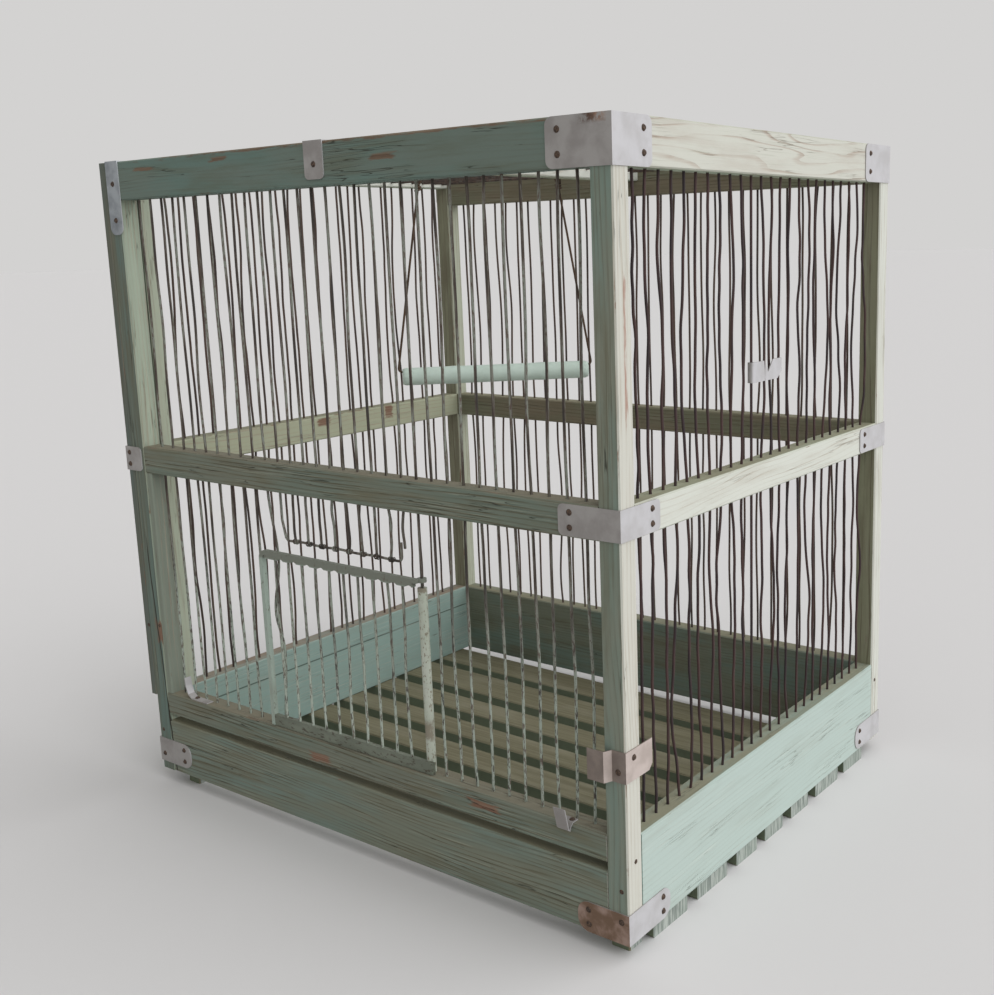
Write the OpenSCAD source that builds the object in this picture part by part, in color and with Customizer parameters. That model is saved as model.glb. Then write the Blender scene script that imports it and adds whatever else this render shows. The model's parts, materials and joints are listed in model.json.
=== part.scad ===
// Canary breeding cage: a nailed softwood frame with upright wires on four sides,
// a wired roof, a slatted floor, a tray slot, a wire door and a hanging cane perch.
// Millimetres. +Z is up, the front faces -Y and the right-hand side faces +X.
// The origin is on the underside of the middle floor slat, in the middle of the cage.

/* [Cage] */
// Width over the corner posts, along X
cage_w = 394; // [350:2:450]
// Depth over the corner posts, along Y
cage_d = 316; // [290:2:350]
// Height from the underside of the floor slats to the top of the frame
cage_h = 418; // [404:2:450]

/* [Timber] */
// Side of the square corner posts, and thickness of every rail and board
post_s = 13; // [12:0.5:14]
// Depth of the front, back and right-hand top rails
top_rail_h = 23.5; // [20:0.5:26]
// Depth of the thin batten that closes the left-hand side at the top
batten_h = 10; // [9.5:0.5:12]
// Height of the underside of the middle rails
mid_rail_z = 219; // [212:1:226]
// Depth of the middle rails
mid_rail_h = 17.5; // [16:0.5:19]
// Height of the back, left and right bottom boards
board_h = 56; // [50:1:60]
// Height of the board across the bottom of the front
front_board_h = 37; // [33:1:39]
// Depth of the sill that the front wires stand in
sill_h = 15.5; // [14:0.5:18]
// Height of the slot that the tray slides through
tray_slot_h = 5; // [4.5:0.1:7]
// Width of the bar that runs from front to back across the roof
roof_bar_w = 14; // [11:0.5:16]
// Depth of that bar
roof_bar_h = 13; // [11:0.5:15]
// Thickness of the outer lath on the front left post
lath_t = 6; // [5.5:0.5:7]
// Height of the broken lower end of that lath above the table
lath_z = 62; // [60:1:66]
// Width of the upright behind the front left post
stile_w = 9; // [7:0.5:9]
// Space between that upright and the post
stile_gap = 1; // [0.5:0.1:1.5]
// Thickness of the short upright beside the post, from the sill to the middle rail
splice_t = 5.5; // [4:0.5:7]
// Depth of that short upright, from the front
splice_d = 11; // [9:0.5:12]
// Worn chamfer along the edges of the timber
edge_c = 0.8; // [0.4:0.1:1.2]

/* [Floor] */
// Thickness of the floor slats
slat_t = 9; // [8:0.5:10]
// Width of the widest floor slats
slat_w = 33; // [30:0.5:34]
// How far the slats are nailed out of square, in degrees
slat_skew = 1; // [0:0.25:1.25]
// How far the ends of the slats stop short of the faces of the frame
slat_inset = 1; // [0.5:0.5:3]
// Side of the two square offcuts under the front board
foot_s = 12; // [10:0.5:12]
// How far those offcuts stand back from the face of the board
foot_back = 7.5; // [6:0.5:8]

/* [Wires] */
// Thickness of the upright and roof wires
wire_d = 1.6; // [1.4:0.1:1.8]
// Spacing of the wires, before the lengths are divided into equal spaces
wire_pitch = 11.5; // [11:0.1:12.5]
// Distance of the rows of wires from the outer faces of the frame
wire_inset = 6.5; // [6:0.1:7]
// Length of wire let into the rail or board at each end
wire_bite = 11; // [8:1:12]
// Length of wire let into the thin batten
batten_bite = 6; // [5:0.5:7]
// Height of the roof wires under the top of the frame
roof_wire_drop = 6.5; // [6:0.1:7]
// Room round each wire in its hole
hole_clear = 0.1; // [0.05:0.05:0.15]

/* [Tin] */
// Thickness of the sheet that the brackets, straps and clips are cut from
tin_t = 0.6; // [0.4:0.1:0.8]
// Height of the brackets on the middle rails
mid_bracket_h = 16; // [13:0.5:16]
// Height of the brackets at the bottom of the posts
foot_bracket_h = 17; // [14:0.5:19]
// Width of the strap over the front left corner
corner_strap_w = 13; // [11:0.5:14]
// Length of that strap on each of its two faces
corner_strap_l = 45; // [40:1:55]
// Width of the straps over the ends of the roof bar
roof_strap_w = 15; // [12:0.5:17]
// Length of those straps on the face of the rail
roof_strap_face_l = 20; // [16:0.5:22]
// Length of those straps along the top of the bar
roof_strap_top_l = 30; // [25:1:40]
// Radius of the tacks
tack_r = 0.7; // [0.5:0.05:0.8]
// Radius of the heads of the tacks
tack_head_r = 1.7; // [1.3:0.1:1.9]
// Height of the heads of the tacks
tack_head_h = 0.8; // [0.5:0.1:1]

/* [Door] */
// Number of the wire that the door hangs on, counted from the left
hinge_wire = 21; // [20:1:22]
// Number of wire spaces in the doorway
door_spaces = 11; // [9:1:12]
// Height of the door
door_h = 114; // [95:1:118]
// Height of the wire over the doorway, above the top of the door
head_wire_gap = 8; // [6:0.5:9]
// How far the door reaches past the wire on the left of the doorway
door_lap = 6; // [5:0.5:6]
// Height of the bar along the top of the door
door_bar_w = 5; // [4.5:0.5:6]
// Width of the upright on the left of the door
door_rod_w = 3; // [2.8:0.1:3.4]
// Thickness of the folded tin frame of the door
door_bar_t = 3.2; // [2.8:0.1:3.5]
// Outer radius of the corner between them
door_corner_r = 5.5; // [5:0.5:7]
// Space between the door and the wires behind it
door_stand_off = 0.8; // [0.6:0.1:0.8]
// Height of the tin strip along the bottom of the door
door_strip_h = 7; // [6:0.5:9]
// Thickness of that strip
door_strip_t = 2.8; // [2.6:0.1:3]
// How far the strip reaches past the hinge wire
door_strip_past = 4.5; // [3:0.5:6]
// Outer radius of the rolled tin barrel that the door hangs by
barrel_r = 2.7; // [2.6:0.1:3]
// Room between pieces that move past each other
move_gap = 0.3; // [0.3:0.05:0.5]

/* [Swing] */
// Number of the roof wire that carries the front hook, counted from the front
swing_wire = 14; // [13:1:15]
// Number of roof wire spaces between the two hooks
swing_spaces = 6; // [5:1:6]
// Distance between the hooks, measured along X
swing_dx = 67.7; // [60:0.1:72]
// Distance of the middle of the swing from the middle of the cage, towards -X
swing_x = 53; // [50:1:58]
// Drop from the roof wires to the middle of the perch
swing_drop = 141.5; // [120:0.5:150]
// Thickness of the wire that the hanger is bent from
hanger_d = 1.6; // [1.4:0.1:1.8]
// Radius of the hooks, to the middle of the wire
hook_r = 3.5; // [3.3:0.1:4]
// Outer diameter of the hollow cane perch
cane_d = 13; // [12:0.5:14]
// Diameter of the hollow in the cane
cane_bore = 9; // [8:0.5:9.5]
// Length of the cane
cane_l = 134; // [110:1:138]
// Room beside each end of the cane, on the hanger
cane_end_gap = 2.5; // [2.5:0.5:5]

/* [Clips] */
// Length of the clip for greens on the right-hand wires
greens_l = 33; // [28:1:36]
// Height of that clip
greens_h = 11.5; // [9:0.5:14]
// Height of its lower edge above the table
greens_z = 281; // [260:1:300]
// Outer radius of the roll by which it hangs on its wire
greens_roll_r = 2; // [1.9:0.1:2.2]
// Height of the strip clip on the front right post
strip_clip_h = 16.5; // [14:0.5:20]
// Height of its lower edge above the table
strip_clip_z = 97; // [85:1:110]
// Reach of its left wing along the front, from the corner of the post
strip_wing_x = 20; // [17:0.5:22]
// Reach of its right wing along the side, past the post
strip_wing_y = 10; // [7:0.5:12]
// How far its left wing stands in front of the post
strip_clip_out = 4.5; // [3:0.5:6]
// Height of the curl of the left hook clip above the sill
hook_left_h = 13.8; // [10:0.2:18]
// Width of the strip that the right hook clip is bent from
hook_clip_w = 7.5; // [7:0.5:9]
// Height of its front leaf above the sill
hook_right_h = 10; // [7:0.5:12]

/* [Hidden] */
$fn = 32;

// Colours of the paint, the wire and the metal
front_green = [0.42, 0.49, 0.45];
pale_green = [0.72, 0.78, 0.71];
aqua_green = [0.66, 0.76, 0.72];
slat_olive = [0.46, 0.46, 0.41];
wire_green = [0.52, 0.56, 0.50];
wire_rust = [0.22, 0.17, 0.15];
tin_grey = [0.74, 0.74, 0.75];
nail_dark = [0.25, 0.22, 0.21];
cane_green = [0.61, 0.74, 0.68];

// Half sizes of the frame, and the inner faces of its posts and rails
half_w = cage_w / 2;
half_d = cage_d / 2;
in_w = half_w - post_s;
in_d = half_d - post_s;

// Heights of the frame members
frame_z = slat_t;
board_top = frame_z + board_h;
front_board_top = frame_z + front_board_h;
sill_z = front_board_top + tray_slot_h;
sill_top = sill_z + sill_h;
top_rail_z = cage_h - top_rail_h;
batten_z = cage_h - batten_h;
mid_rail_top = mid_rail_z + mid_rail_h;
roof_bar_z = cage_h - roof_bar_h;
roof_wire_z = cage_h - roof_wire_drop;

// Rows of wires: radius, hole radius, number in each row and true spacing
wire_r = wire_d / 2;
hole_r = wire_r + hole_clear;
front_n = round(2 * in_w / wire_pitch) - 1;
side_n = round(2 * in_d / wire_pitch) - 1;
front_pitch = 2 * in_w / (front_n + 1);
side_pitch = 2 * in_d / (side_n + 1);
row_y = half_d - wire_inset;
row_x = half_w - wire_inset;
function front_x(i) = -in_w + i * front_pitch;
function side_y(i) = -in_d + i * side_pitch;
function roof_y(i) = -in_d + (i - 0.5) * side_pitch;

// ---------------------------------------------------------------- nails
// A nail is [point under its head, axis it runs along, direction, length, radius].

// Tacks stop one millimetre short of the rows of wires, and sit this loosely in their holes
tack_l = wire_inset - wire_r - 1;
tack_clear = 0.05;
// The tacks that come down from the top stop above the wires let into the batten
top_tack_l = tack_l - 1;
// Distance of the tacks from the ends of the brackets, and their heights on a bracket
tack_in = 7;
TACK_LEVELS = [0.27, 0.75];
// Distance of the nails and tacks in the posts from the outer faces of the frame
post_nail_in = 4.2;
// Nails through a post reach this far into the board behind it
nail_l = post_s + 0.6 * side_pitch;
nail_head_r = 1.3;
nail_head_h = 0.4;
// Pins with sunk ends come up through the slats into the side boards
pin_r = 0.6;
pin_sunk = 0.4;
pin_bite = 8;

// Corners of the frame as signs of X and Y
CORNERS = [[-1, -1], [1, -1], [-1, 1], [1, 1]];

// A bracket is [X sign, Y sign, z, height, length on the front or back face, length on the
// side face, end radius, height of its tack in the post as a share of its own or 0 for none,
// thickness of a lath under it, distance of the tacks from the end of its first leaf].
top_round = 4;
mid_round = 3;
foot_round = 7;
foot_z = frame_z - 0.5;
lath_tack_in = 12.5;
mid_bracket_z = mid_rail_z + (mid_rail_h - mid_bracket_h) / 2;
TOP_FR = [1, -1, top_rail_z, top_rail_h, 37.5, 32, top_round, 0, 0, tack_in];
TOP_BR = [1, 1, top_rail_z, top_rail_h, 37.5, 38, top_round, 0, 0, tack_in];
TOP_BL = [-1, 1, top_rail_z, top_rail_h, 37.5, post_s - 1, top_round, 0, 0, tack_in];
MID_FR = [1, -1, mid_bracket_z, mid_bracket_h, 37, 34, mid_round, 0, 0, tack_in];
MID_FL = [-1, -1, mid_bracket_z, mid_bracket_h, 16, post_s - 1, mid_round, 0, lath_t,
    lath_tack_in];
MID_BR = [1, 1, mid_bracket_z, mid_bracket_h, 36, 40, mid_round, 0, 0, tack_in];
MID_BL = [-1, 1, mid_bracket_z, mid_bracket_h, 36, 40, mid_round, 0, 0, tack_in];
FOOT_FR = [1, -1, foot_z, foot_bracket_h, 32, 38, foot_round, 0.72, 0, tack_in];
FOOT_FL = [-1, -1, foot_z + 6, foot_bracket_h, 33.5, 38, foot_round, 0.34, 0, tack_in];
FOOT_BR = [1, 1, foot_z + 2, foot_bracket_h, 36, 40, foot_round, 0.5, 0, tack_in];
FOOT_BL = [-1, 1, foot_z + 2, foot_bracket_h, 36, 40, foot_round, 0.5, 0, tack_in];
BRACKETS = [TOP_FR, TOP_BR, TOP_BL, MID_FR, MID_FL, MID_BR, MID_BL,
    FOOT_FR, FOOT_FL, FOOT_BR, FOOT_BL];

// Tacks of one bracket: a pair near the end of each leaf, and one in the post. On a short
// side leaf they stand nearer to its end.
function side_in(b) = min(tack_in, 0.42 * b[5]);
function tacks_of(b) = concat(
    [for (f = TACK_LEVELS)
        [[b[0] * (half_w + b[8] - b[4] + b[9]), b[1] * (half_d + tin_t), b[2] + f * b[3]],
            1, -b[1], tack_l + tin_t, tack_r]],
    [for (f = TACK_LEVELS)
        [[b[0] * (half_w + b[8] + tin_t), b[1] * (half_d - b[5] + side_in(b)), b[2] + f * b[3]],
            0, -b[0], tack_l + tin_t, tack_r]],
    b[7] == 0 ? [] :
        [[[b[0] * (half_w - post_nail_in), b[1] * (half_d + tin_t), b[2] + b[7] * b[3]],
            1, -b[1], tack_l + tin_t, tack_r]]
);

// Straps: two tacks on the face and two on top at the corner, one of each on the roof bar
corner_strap_x = -half_w + corner_strap_w / 2 + 2;
roof_strap_tack = 8;
STRAP_TACKS = concat(
    [for (d = [0.3, 0.8] * corner_strap_l)
        [[corner_strap_x, -half_d - tin_t, cage_h - d], 1, 1, tack_l + tin_t, tack_r]],
    [for (d = [0.53, 0.82] * corner_strap_l)
        [[corner_strap_x, -half_d + d, cage_h + tin_t], 2, -1, top_tack_l + tin_t, tack_r]],
    [for (s = [-1, 1])
        [[0, s * (half_d + tin_t), cage_h - roof_strap_face_l + roof_strap_tack],
            1, -s, tack_l + tin_t, tack_r]],
    [for (s = [-1, 1])
        [[0, s * (half_d - roof_strap_top_l + roof_strap_tack), cage_h + tin_t],
            2, -1, top_tack_l + tin_t, tack_r]]
);

// Clips: one tack from the front and one from the side in the strip clip, and one down into
// the sill through each hook clip
post_x = half_w - post_s / 2;
hook_left_x = (front_x(2) + front_x(3)) / 2;
hook_left_y = -half_d + 3.4;
hook_right_x = front_x(front_n - 1) - 2;
hook_right_y = -half_d + 2.8;
CLIP_TACKS = [
    [[half_w - post_nail_in, -half_d - tin_t, strip_clip_z + 0.33 * strip_clip_h],
        1, 1, tack_l + tin_t, tack_r],
    [[half_w + tin_t, -half_d + post_s / 2, strip_clip_z + 0.73 * strip_clip_h],
        0, -1, tack_l + tin_t, tack_r],
    [[hook_left_x, hook_left_y, sill_top + tin_t], 2, -1, tack_l, tack_r],
    [[hook_right_x + 1.5, hook_right_y, sill_top + tin_t], 2, -1, tack_l, tack_r]
];

BRACKET_TACKS = concat([for (b = BRACKETS) each tacks_of(b)], STRAP_TACKS, CLIP_TACKS);

// Nails through the posts into the ends of the boards and of the sill
nail_y_z = frame_z + 28.5;
nail_x_z = sill_z + 1.2;
nail_x_y = half_d - 7.2;
POST_NAILS = concat(
    [for (c = CORNERS)
        [[c[0] * (half_w - post_nail_in), c[1] * half_d, nail_y_z], 1, -c[1], nail_l, tack_r]],
    [for (c = CORNERS)
        [[c[0] * half_w, c[1] * nail_x_y, nail_x_z], 0, -c[0], nail_l, tack_r]]
);

// Nails that hold the lath: two from the side into the post, and one each in the front
// faces of the lath and of the post, either side of a long split in the paint
lath_nail_bite = 8;
split_nail_l = 8;
split_nail_z = 0.268 * cage_h;
LATH_NAILS = concat(
    [for (z = [0.36, 0.79] * cage_h)
        [[-half_w - lath_t, -half_d + post_s / 2, z], 0, 1, lath_t + lath_nail_bite, tack_r]],
    [for (n = [[-half_w - 1.2, split_nail_z], [-in_w - 1.8, split_nail_z + 1.5]])
        [[n[0], -half_d, n[1]], 1, 1, split_nail_l, tack_r]]
);

// The slats are cut from odd boards. Each has the place of its middle as a share of the
// depth of the cage, and its width as a share of the widest.
SLATS = [1, 2, 3, 4, 5, 6, 7];
SLAT_PLACES = [-0.361, -0.2215, -0.095, 0.0135, 0.125, 0.2515, 0.3826];
SLAT_SHARES = [1, 0.97, 0.73, 0.68, 0.7, 1, 0.88];
function slat_y(k) = SLAT_PLACES[k - 1] * cage_d;
function slat_width(k) = SLAT_SHARES[k - 1] * slat_w;

// A pin up through a slat or an offcut at x, y into the timber over it
function pin_at(x, y) = [[x, y, pin_sunk], 2, 1, slat_t - pin_sunk + pin_bite, pin_r];

// Pins up through the ends of the slats into the side boards
function pins_of(k) =
    [for (s = [-1, 1]) pin_at(s * post_x, slat_y(k) - s * post_x * tan(slat_skew))];
SLAT_PINS = [for (k = SLATS) each pins_of(k)];

// The offcuts: places of their middles along X, and one pin up through each
FEET = [-0.883 * half_w, 0.944 * half_w];
feet_y = -half_d + foot_back;
FEET_PINS = [for (x = FEET) pin_at(x, (feet_y - in_d) / 2)];

HEADED_NAILS = concat(POST_NAILS, LATH_NAILS);
ALL_NAILS = concat(BRACKET_TACKS, HEADED_NAILS, SLAT_PINS, FEET_PINS);

// Lays children that rise along +Z from the origin along axis a in direction s, at p
module along(p, a, s) {
    turn = a == 0 ? [0, 90 * s, 0] : a == 1 ? [-90 * s, 0, 0] : [s > 0 ? 0 : 180, 0, 0];
    translate(p)
        rotate(turn)
            children();
}

// A nail with a low conical head outside the point where it enters
module nail(n, head_r, head_h) {
    along(n[0], n[1], n[2])
        union() {
            cylinder(h = n[3], r = n[4]);
            translate([0, 0, -head_h])
                cylinder(h = head_h, r1 = 0.6 * head_r, r2 = head_r);
        }
}

// A pin without a head
module pin(n) {
    along(n[0], n[1], n[2])
        cylinder(h = n[3], r = n[4]);
}

// The hole that a nail needs, starting outside the tin
module nail_bore(n) {
    along(n[0], n[1], n[2])
        translate([0, 0, -tin_t])
            cylinder(h = n[3] + tin_t + tack_clear, r = n[4] + tack_clear);
}

// Lowest and highest points of a nail's shank along axis k, and whether it enters a box
function nail_lo(n, k) = n[0][k] + (k == n[1] ? min(0, n[2] * n[3]) : 0);
function nail_hi(n, k) = n[0][k] + (k == n[1] ? max(0, n[2] * n[3]) : 0);
function enters(n, lo, hi) =
    len([for (k = [0:2]) if (nail_hi(n, k) >= lo[k] && nail_lo(n, k) <= hi[k]) k]) == 3;

// ---------------------------------------------------------------- wires
// An upright wire is [x, y, z of its lower end, z of its upper end], and a roof wire is
// [x of its left end, x of its right end, y].

hinge_x = front_x(hinge_wire);
door_left_wire = hinge_wire - door_spaces;
door_z = sill_top + move_gap;
door_top = door_z + door_h;
head_wire_z = door_top + head_wire_gap;
head_wire_y = -row_y - wire_d - hole_clear;
head_wire_x = front_x(door_left_wire + 1);

front_foot = sill_top - wire_bite;
wall_foot = board_top - wire_bite;
wall_head = top_rail_z + wire_bite;
left_head = batten_z + batten_bite;
roof_end = in_w + batten_bite;

FRONT = [for (i = concat([for (k = [1:door_left_wire]) k], [for (k = [hinge_wire:front_n]) k]))
    [front_x(i), -row_y, front_foot, wall_head]];
// The short wires end just under the wire over the doorway, behind it
FRONT_SHORT = [for (i = [door_left_wire + 2:hinge_wire - 1])
    [front_x(i), -row_y, head_wire_z - wire_d, wall_head]];
HEAD_WIRE = [head_wire_x, -row_y, head_wire_z, wall_head];
BACK = [for (i = [1:front_n]) [front_x(i), row_y, wall_foot, wall_head]];
LEFT = [for (i = [1:side_n]) [-row_x, side_y(i), wall_foot, left_head]];
RIGHT = [for (i = [1:side_n]) [row_x, side_y(i), wall_foot, wall_head]];
ROOF = [for (i = [1:side_n + 1]) [-roof_end, roof_end, roof_y(i)]];
UPRIGHTS = concat(FRONT, FRONT_SHORT, [HEAD_WIRE], BACK, LEFT, RIGHT);

module upright(w, r, more) {
    translate([w[0], w[1], w[2] - more])
        cylinder(h = w[3] - w[2] + 2 * more, r = r);
}

module roof_wire(w, r, more) {
    translate([w[0] - more, w[2], roof_wire_z])
        rotate([0, 90, 0])
            cylinder(h = w[1] - w[0] + 2 * more, r = r);
}

module upright_row(row, shade) {
    color(shade)
        for (w = row)
            upright(w, wire_r, 0);
}

module front_wires() { upright_row(FRONT, wire_green); }
module front_short_wires() { upright_row(FRONT_SHORT, wire_green); }
module back_wires() { upright_row(BACK, wire_rust); }
module left_wires() { upright_row(LEFT, wire_rust); }
module right_wires() { upright_row(RIGHT, wire_rust); }

module roof_wires() {
    color(wire_rust)
        for (w = ROOF)
            roof_wire(w, wire_r, 0);
}

// A round wire along a path that never runs along Y. Each ring of points stands square to
// the mean direction of the path at its point.
function unit(v) = v / norm(v);
function heading(p, i) = unit(p[min(i + 1, len(p) - 1)] - p[max(i - 1, 0)]);
function wire_ring(p, i, r, sides) =
    let (t = heading(p, i), b = unit(cross(t, [0, 1, 0])), n = cross(b, t))
        [for (k = [0:sides - 1])
            p[i] + r * cos(360 * k / sides) * b + r * sin(360 * k / sides) * n];

module bent_wire(p, r, sides) {
    rings = [for (i = [0:len(p) - 1]) each wire_ring(p, i, r, sides)];
    last = (len(p) - 1) * sides;
    walls = [for (i = [0:len(p) - 2], k = [0:sides - 1])
        let (a = i * sides + k, b = i * sides + (k + 1) % sides)
            each [[a, b, b + sides], [a, b + sides, a + sides]]];
    first_cap = [for (k = [1:sides - 2]) [0, k + 1, k]];
    last_cap = [for (k = [1:sides - 2]) [last, last + k, last + k + 1]];
    polyhedron(points = rings, faces = concat(walls, first_cap, last_cap));
}

// Points of an arc in the XZ plane about c, from angle a0 to a1
function arc(c, r, a0, a1, n) =
    [for (i = [0:n]) let (a = a0 + (a1 - a0) * i / n) c + r * [cos(a), 0, sin(a)]];

// The wire over the doorway comes down like its neighbours, steps in front of them, runs to
// the right across the short wires and turns up at its end
module door_head_wire() {
    bend = 3;
    tail = 5.2;
    end_x = front_x(hinge_wire - 1) - 0.75 * wire_d;
    c0 = [head_wire_x + bend, head_wire_y, head_wire_z + bend];
    c1 = [end_x - bend, head_wire_y, head_wire_z + bend];
    path = concat(
        [[head_wire_x, -row_y, wall_head], [head_wire_x, -row_y, head_wire_z + 3 * bend]],
        arc(c0, bend, 180, 270, 4),
        arc(c1, bend, 270, 360, 4),
        [c1 + [bend, 0, tail]]
    );
    color(wire_green)
        bent_wire(path, wire_r, 8);
}

// ---------------------------------------------------------------- timber

// A rectangle with its corners cut off
module chamfered(w, h, c) {
    polygon([[c, 0], [w - c, 0], [w, c], [w, h - c], [w - c, h], [c, h], [0, h - c], [0, c]]);
}

// A length of timber between two corner points, chamfered along axis a
module bar(lo, hi, a) {
    size = hi - lo;
    if (a == 2)
        translate(lo)
            linear_extrude(height = size[2])
                chamfered(size[0], size[1], edge_c);
    if (a == 1)
        translate([lo[0], hi[1], lo[2]])
            rotate([90, 0, 0])
                linear_extrude(height = size[1])
                    chamfered(size[0], size[2], edge_c);
    if (a == 0)
        translate(lo)
            rotate([90, 0, 90])
                linear_extrude(height = size[0])
                    chamfered(size[1], size[2], edge_c);
}

// A bar with the holes of every nail and wire that enters it
module timber(lo, hi, a, shade) {
    color(shade)
        difference() {
            bar(lo, hi, a);
            for (n = ALL_NAILS)
                if (enters(n, lo, hi))
                    nail_bore(n);
            for (w = UPRIGHTS)
                if (w[0] > lo[0] && w[0] < hi[0] && w[1] > lo[1] && w[1] < hi[1]
                        && w[3] > lo[2] && w[2] < hi[2])
                    upright(w, hole_r, hole_clear);
            for (w = ROOF)
                if (w[2] > lo[1] && w[2] < hi[1] && w[1] > lo[0] && w[0] < hi[0]
                        && roof_wire_z > lo[2] && roof_wire_z < hi[2])
                    roof_wire(w, hole_r, hole_clear);
        }
}

module post(sx, sy, shade) {
    x = sx < 0 ? -half_w : in_w;
    y = sy < 0 ? -half_d : in_d;
    timber([x, y, frame_z], [x + post_s, y + post_s, cage_h], 2, shade);
}

// A rail or board across the front (s < 0) or the back (s > 0), between the posts
module cross_rail(s, z0, z1, shade) {
    y = s < 0 ? -half_d : in_d;
    timber([-in_w, y, z0], [in_w, y + post_s, z1], 0, shade);
}

// A rail or board along the left side (s < 0) or the right side (s > 0)
module side_rail(s, z0, z1, shade) {
    x = s < 0 ? -half_w : in_w;
    timber([x, -in_d, z0], [x + post_s, in_d, z1], 1, shade);
}

module post_front_left() { post(-1, -1, front_green); }
module post_front_right() { post(1, -1, front_green); }
module post_back_left() { post(-1, 1, pale_green); }
module post_back_right() { post(1, 1, pale_green); }

// The lath on the front left post, broken off beside the sill
module left_lath() {
    timber([-half_w - lath_t, -half_d, lath_z], [-half_w, -in_d, cage_h], 2, front_green);
}

// The upright behind the front left post, between the side board and the batten, and the
// short one beside the post, between the sill and the middle rail
stile_y = -in_d + stile_gap;
stile_end = stile_y + stile_w;
module left_stiles() {
    timber([-half_w, stile_y, board_top], [-in_w, stile_end, batten_z], 2, pale_green);
    timber([-in_w, -half_d, sill_top], [-in_w + splice_t, -half_d + splice_d, mid_rail_z],
        2, front_green);
}

module top_rail_front() { cross_rail(-1, top_rail_z, cage_h, front_green); }
module top_rail_back() { cross_rail(1, top_rail_z, cage_h, front_green); }
module top_rail_right() { side_rail(1, top_rail_z, cage_h, pale_green); }
module top_batten_left() { side_rail(-1, batten_z, cage_h, pale_green); }

module mid_rail_front() { cross_rail(-1, mid_rail_z, mid_rail_top, front_green); }
module mid_rail_back() { cross_rail(1, mid_rail_z, mid_rail_top, front_green); }
// The left middle rail starts at the upright behind the post
module mid_rail_left() {
    timber([-half_w, stile_end, mid_rail_z], [-in_w, in_d, mid_rail_top], 1, pale_green);
}
module mid_rail_right() { side_rail(1, mid_rail_z, mid_rail_top, pale_green); }

module front_sill() { cross_rail(-1, sill_z, sill_top, front_green); }
module bottom_board_front() { cross_rail(-1, frame_z, front_board_top, front_green); }
module bottom_board_back() { cross_rail(1, frame_z, board_top, front_green); }
module bottom_board_left() { side_rail(-1, frame_z, board_top, aqua_green); }
module bottom_board_right() { side_rail(1, frame_z, board_top, aqua_green); }

// The roof bar lies between the front and back top rails, flush with their upper edges
module roof_centre_bar() {
    timber([-roof_bar_w / 2, -in_d, roof_bar_z], [roof_bar_w / 2, in_d, cage_h], 1, pale_green);
}

module floor_slat(k) {
    w = slat_width(k);
    end_x = half_w - slat_inset;
    color(slat_olive)
        difference() {
            translate([0, slat_y(k), 0])
                rotate([0, 0, -slat_skew])
                    bar([-end_x, -w / 2, 0], [end_x, w / 2, slat_t], 0);
            for (n = pins_of(k))
                nail_bore(n);
        }
}

// Two offcuts of slat under the front board, near its ends
module front_feet() {
    r = foot_s / 2;
    for (x = FEET)
        timber([x - r, feet_y, 0], [x + r, feet_y + foot_s, slat_t], 2, slat_olive);
}

// ---------------------------------------------------------------- tin

// The outline of a leaf along +X, h wide, with its far end rounded
module leaf_outline(l, h, r) {
    union() {
        square([l - r, h]);
        translate([l - r, r])
            square([r, h - 2 * r]);
        for (y = [r, h - r])
            translate([l - r, y])
                circle(r);
    }
}

// A leaf along +X just outside the plane y = 0, and one along +Y just outside x = 0
module leaf_along_x(l, h, r) {
    rotate([90, 0, 0])
        linear_extrude(height = tin_t)
            leaf_outline(l, h, r);
}

module leaf_along_y(l, h, r) {
    translate([-tin_t, 0, 0])
        rotate([90, 0, 90])
            linear_extrude(height = tin_t)
                leaf_outline(l, h, r);
}

// An angle bracket folded round a corner post. Its corner is turned to the frame's, and a
// quarter turn swaps the leaves, so their lengths are swapped for those corners.
module bracket(b) {
    swap = b[0] * b[1] < 0;
    turn = b[0] < 0 ? (b[1] < 0 ? 0 : -90) : (b[1] < 0 ? 90 : 180);
    color(tin_grey)
        difference() {
            translate([b[0] * (half_w + b[8]), b[1] * half_d, b[2]])
                rotate([0, 0, turn])
                    union() {
                        translate([-tin_t, 0, 0])
                            leaf_along_x((swap ? b[5] : b[4]) + tin_t, b[3], b[6]);
                        leaf_along_y(swap ? b[4] : b[5], b[3], b[6]);
                    }
            for (n = tacks_of(b))
                nail_bore(n);
        }
}

module bracket_top_front_right() { bracket(TOP_FR); }
module bracket_top_back_right() { bracket(TOP_BR); }
module bracket_top_back_left() { bracket(TOP_BL); }
module bracket_mid_front_right() { bracket(MID_FR); }
module bracket_mid_front_left() { bracket(MID_FL); }
module bracket_mid_back_right() { bracket(MID_BR); }
module bracket_mid_back_left() { bracket(MID_BL); }
module bracket_foot_front_right() { bracket(FOOT_FR); }
module bracket_foot_front_left() { bracket(FOOT_FL); }
module bracket_foot_back_right() { bracket(FOOT_BR); }
module bracket_foot_back_left() { bracket(FOOT_BL); }

// A strap w wide down the front of the frame about x = 0, folded back over its top
module strap(w, face_l, top_l, r) {
    union() {
        translate([-w / 2, -half_d, cage_h + tin_t])
            rotate([90, 0, 0])
                linear_extrude(height = tin_t)
                    rotate(-90)
                        leaf_outline(face_l + tin_t, w, r);
        translate([w / 2, -half_d, cage_h])
            linear_extrude(height = tin_t)
                rotate(90)
                    leaf_outline(top_l, w, r);
    }
}

module strap_top_front_left() {
    color(tin_grey)
        difference() {
            translate([corner_strap_x, 0, 0])
                strap(corner_strap_w, corner_strap_l, corner_strap_l, 5);
            for (n = STRAP_TACKS)
                nail_bore(n);
        }
}

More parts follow.
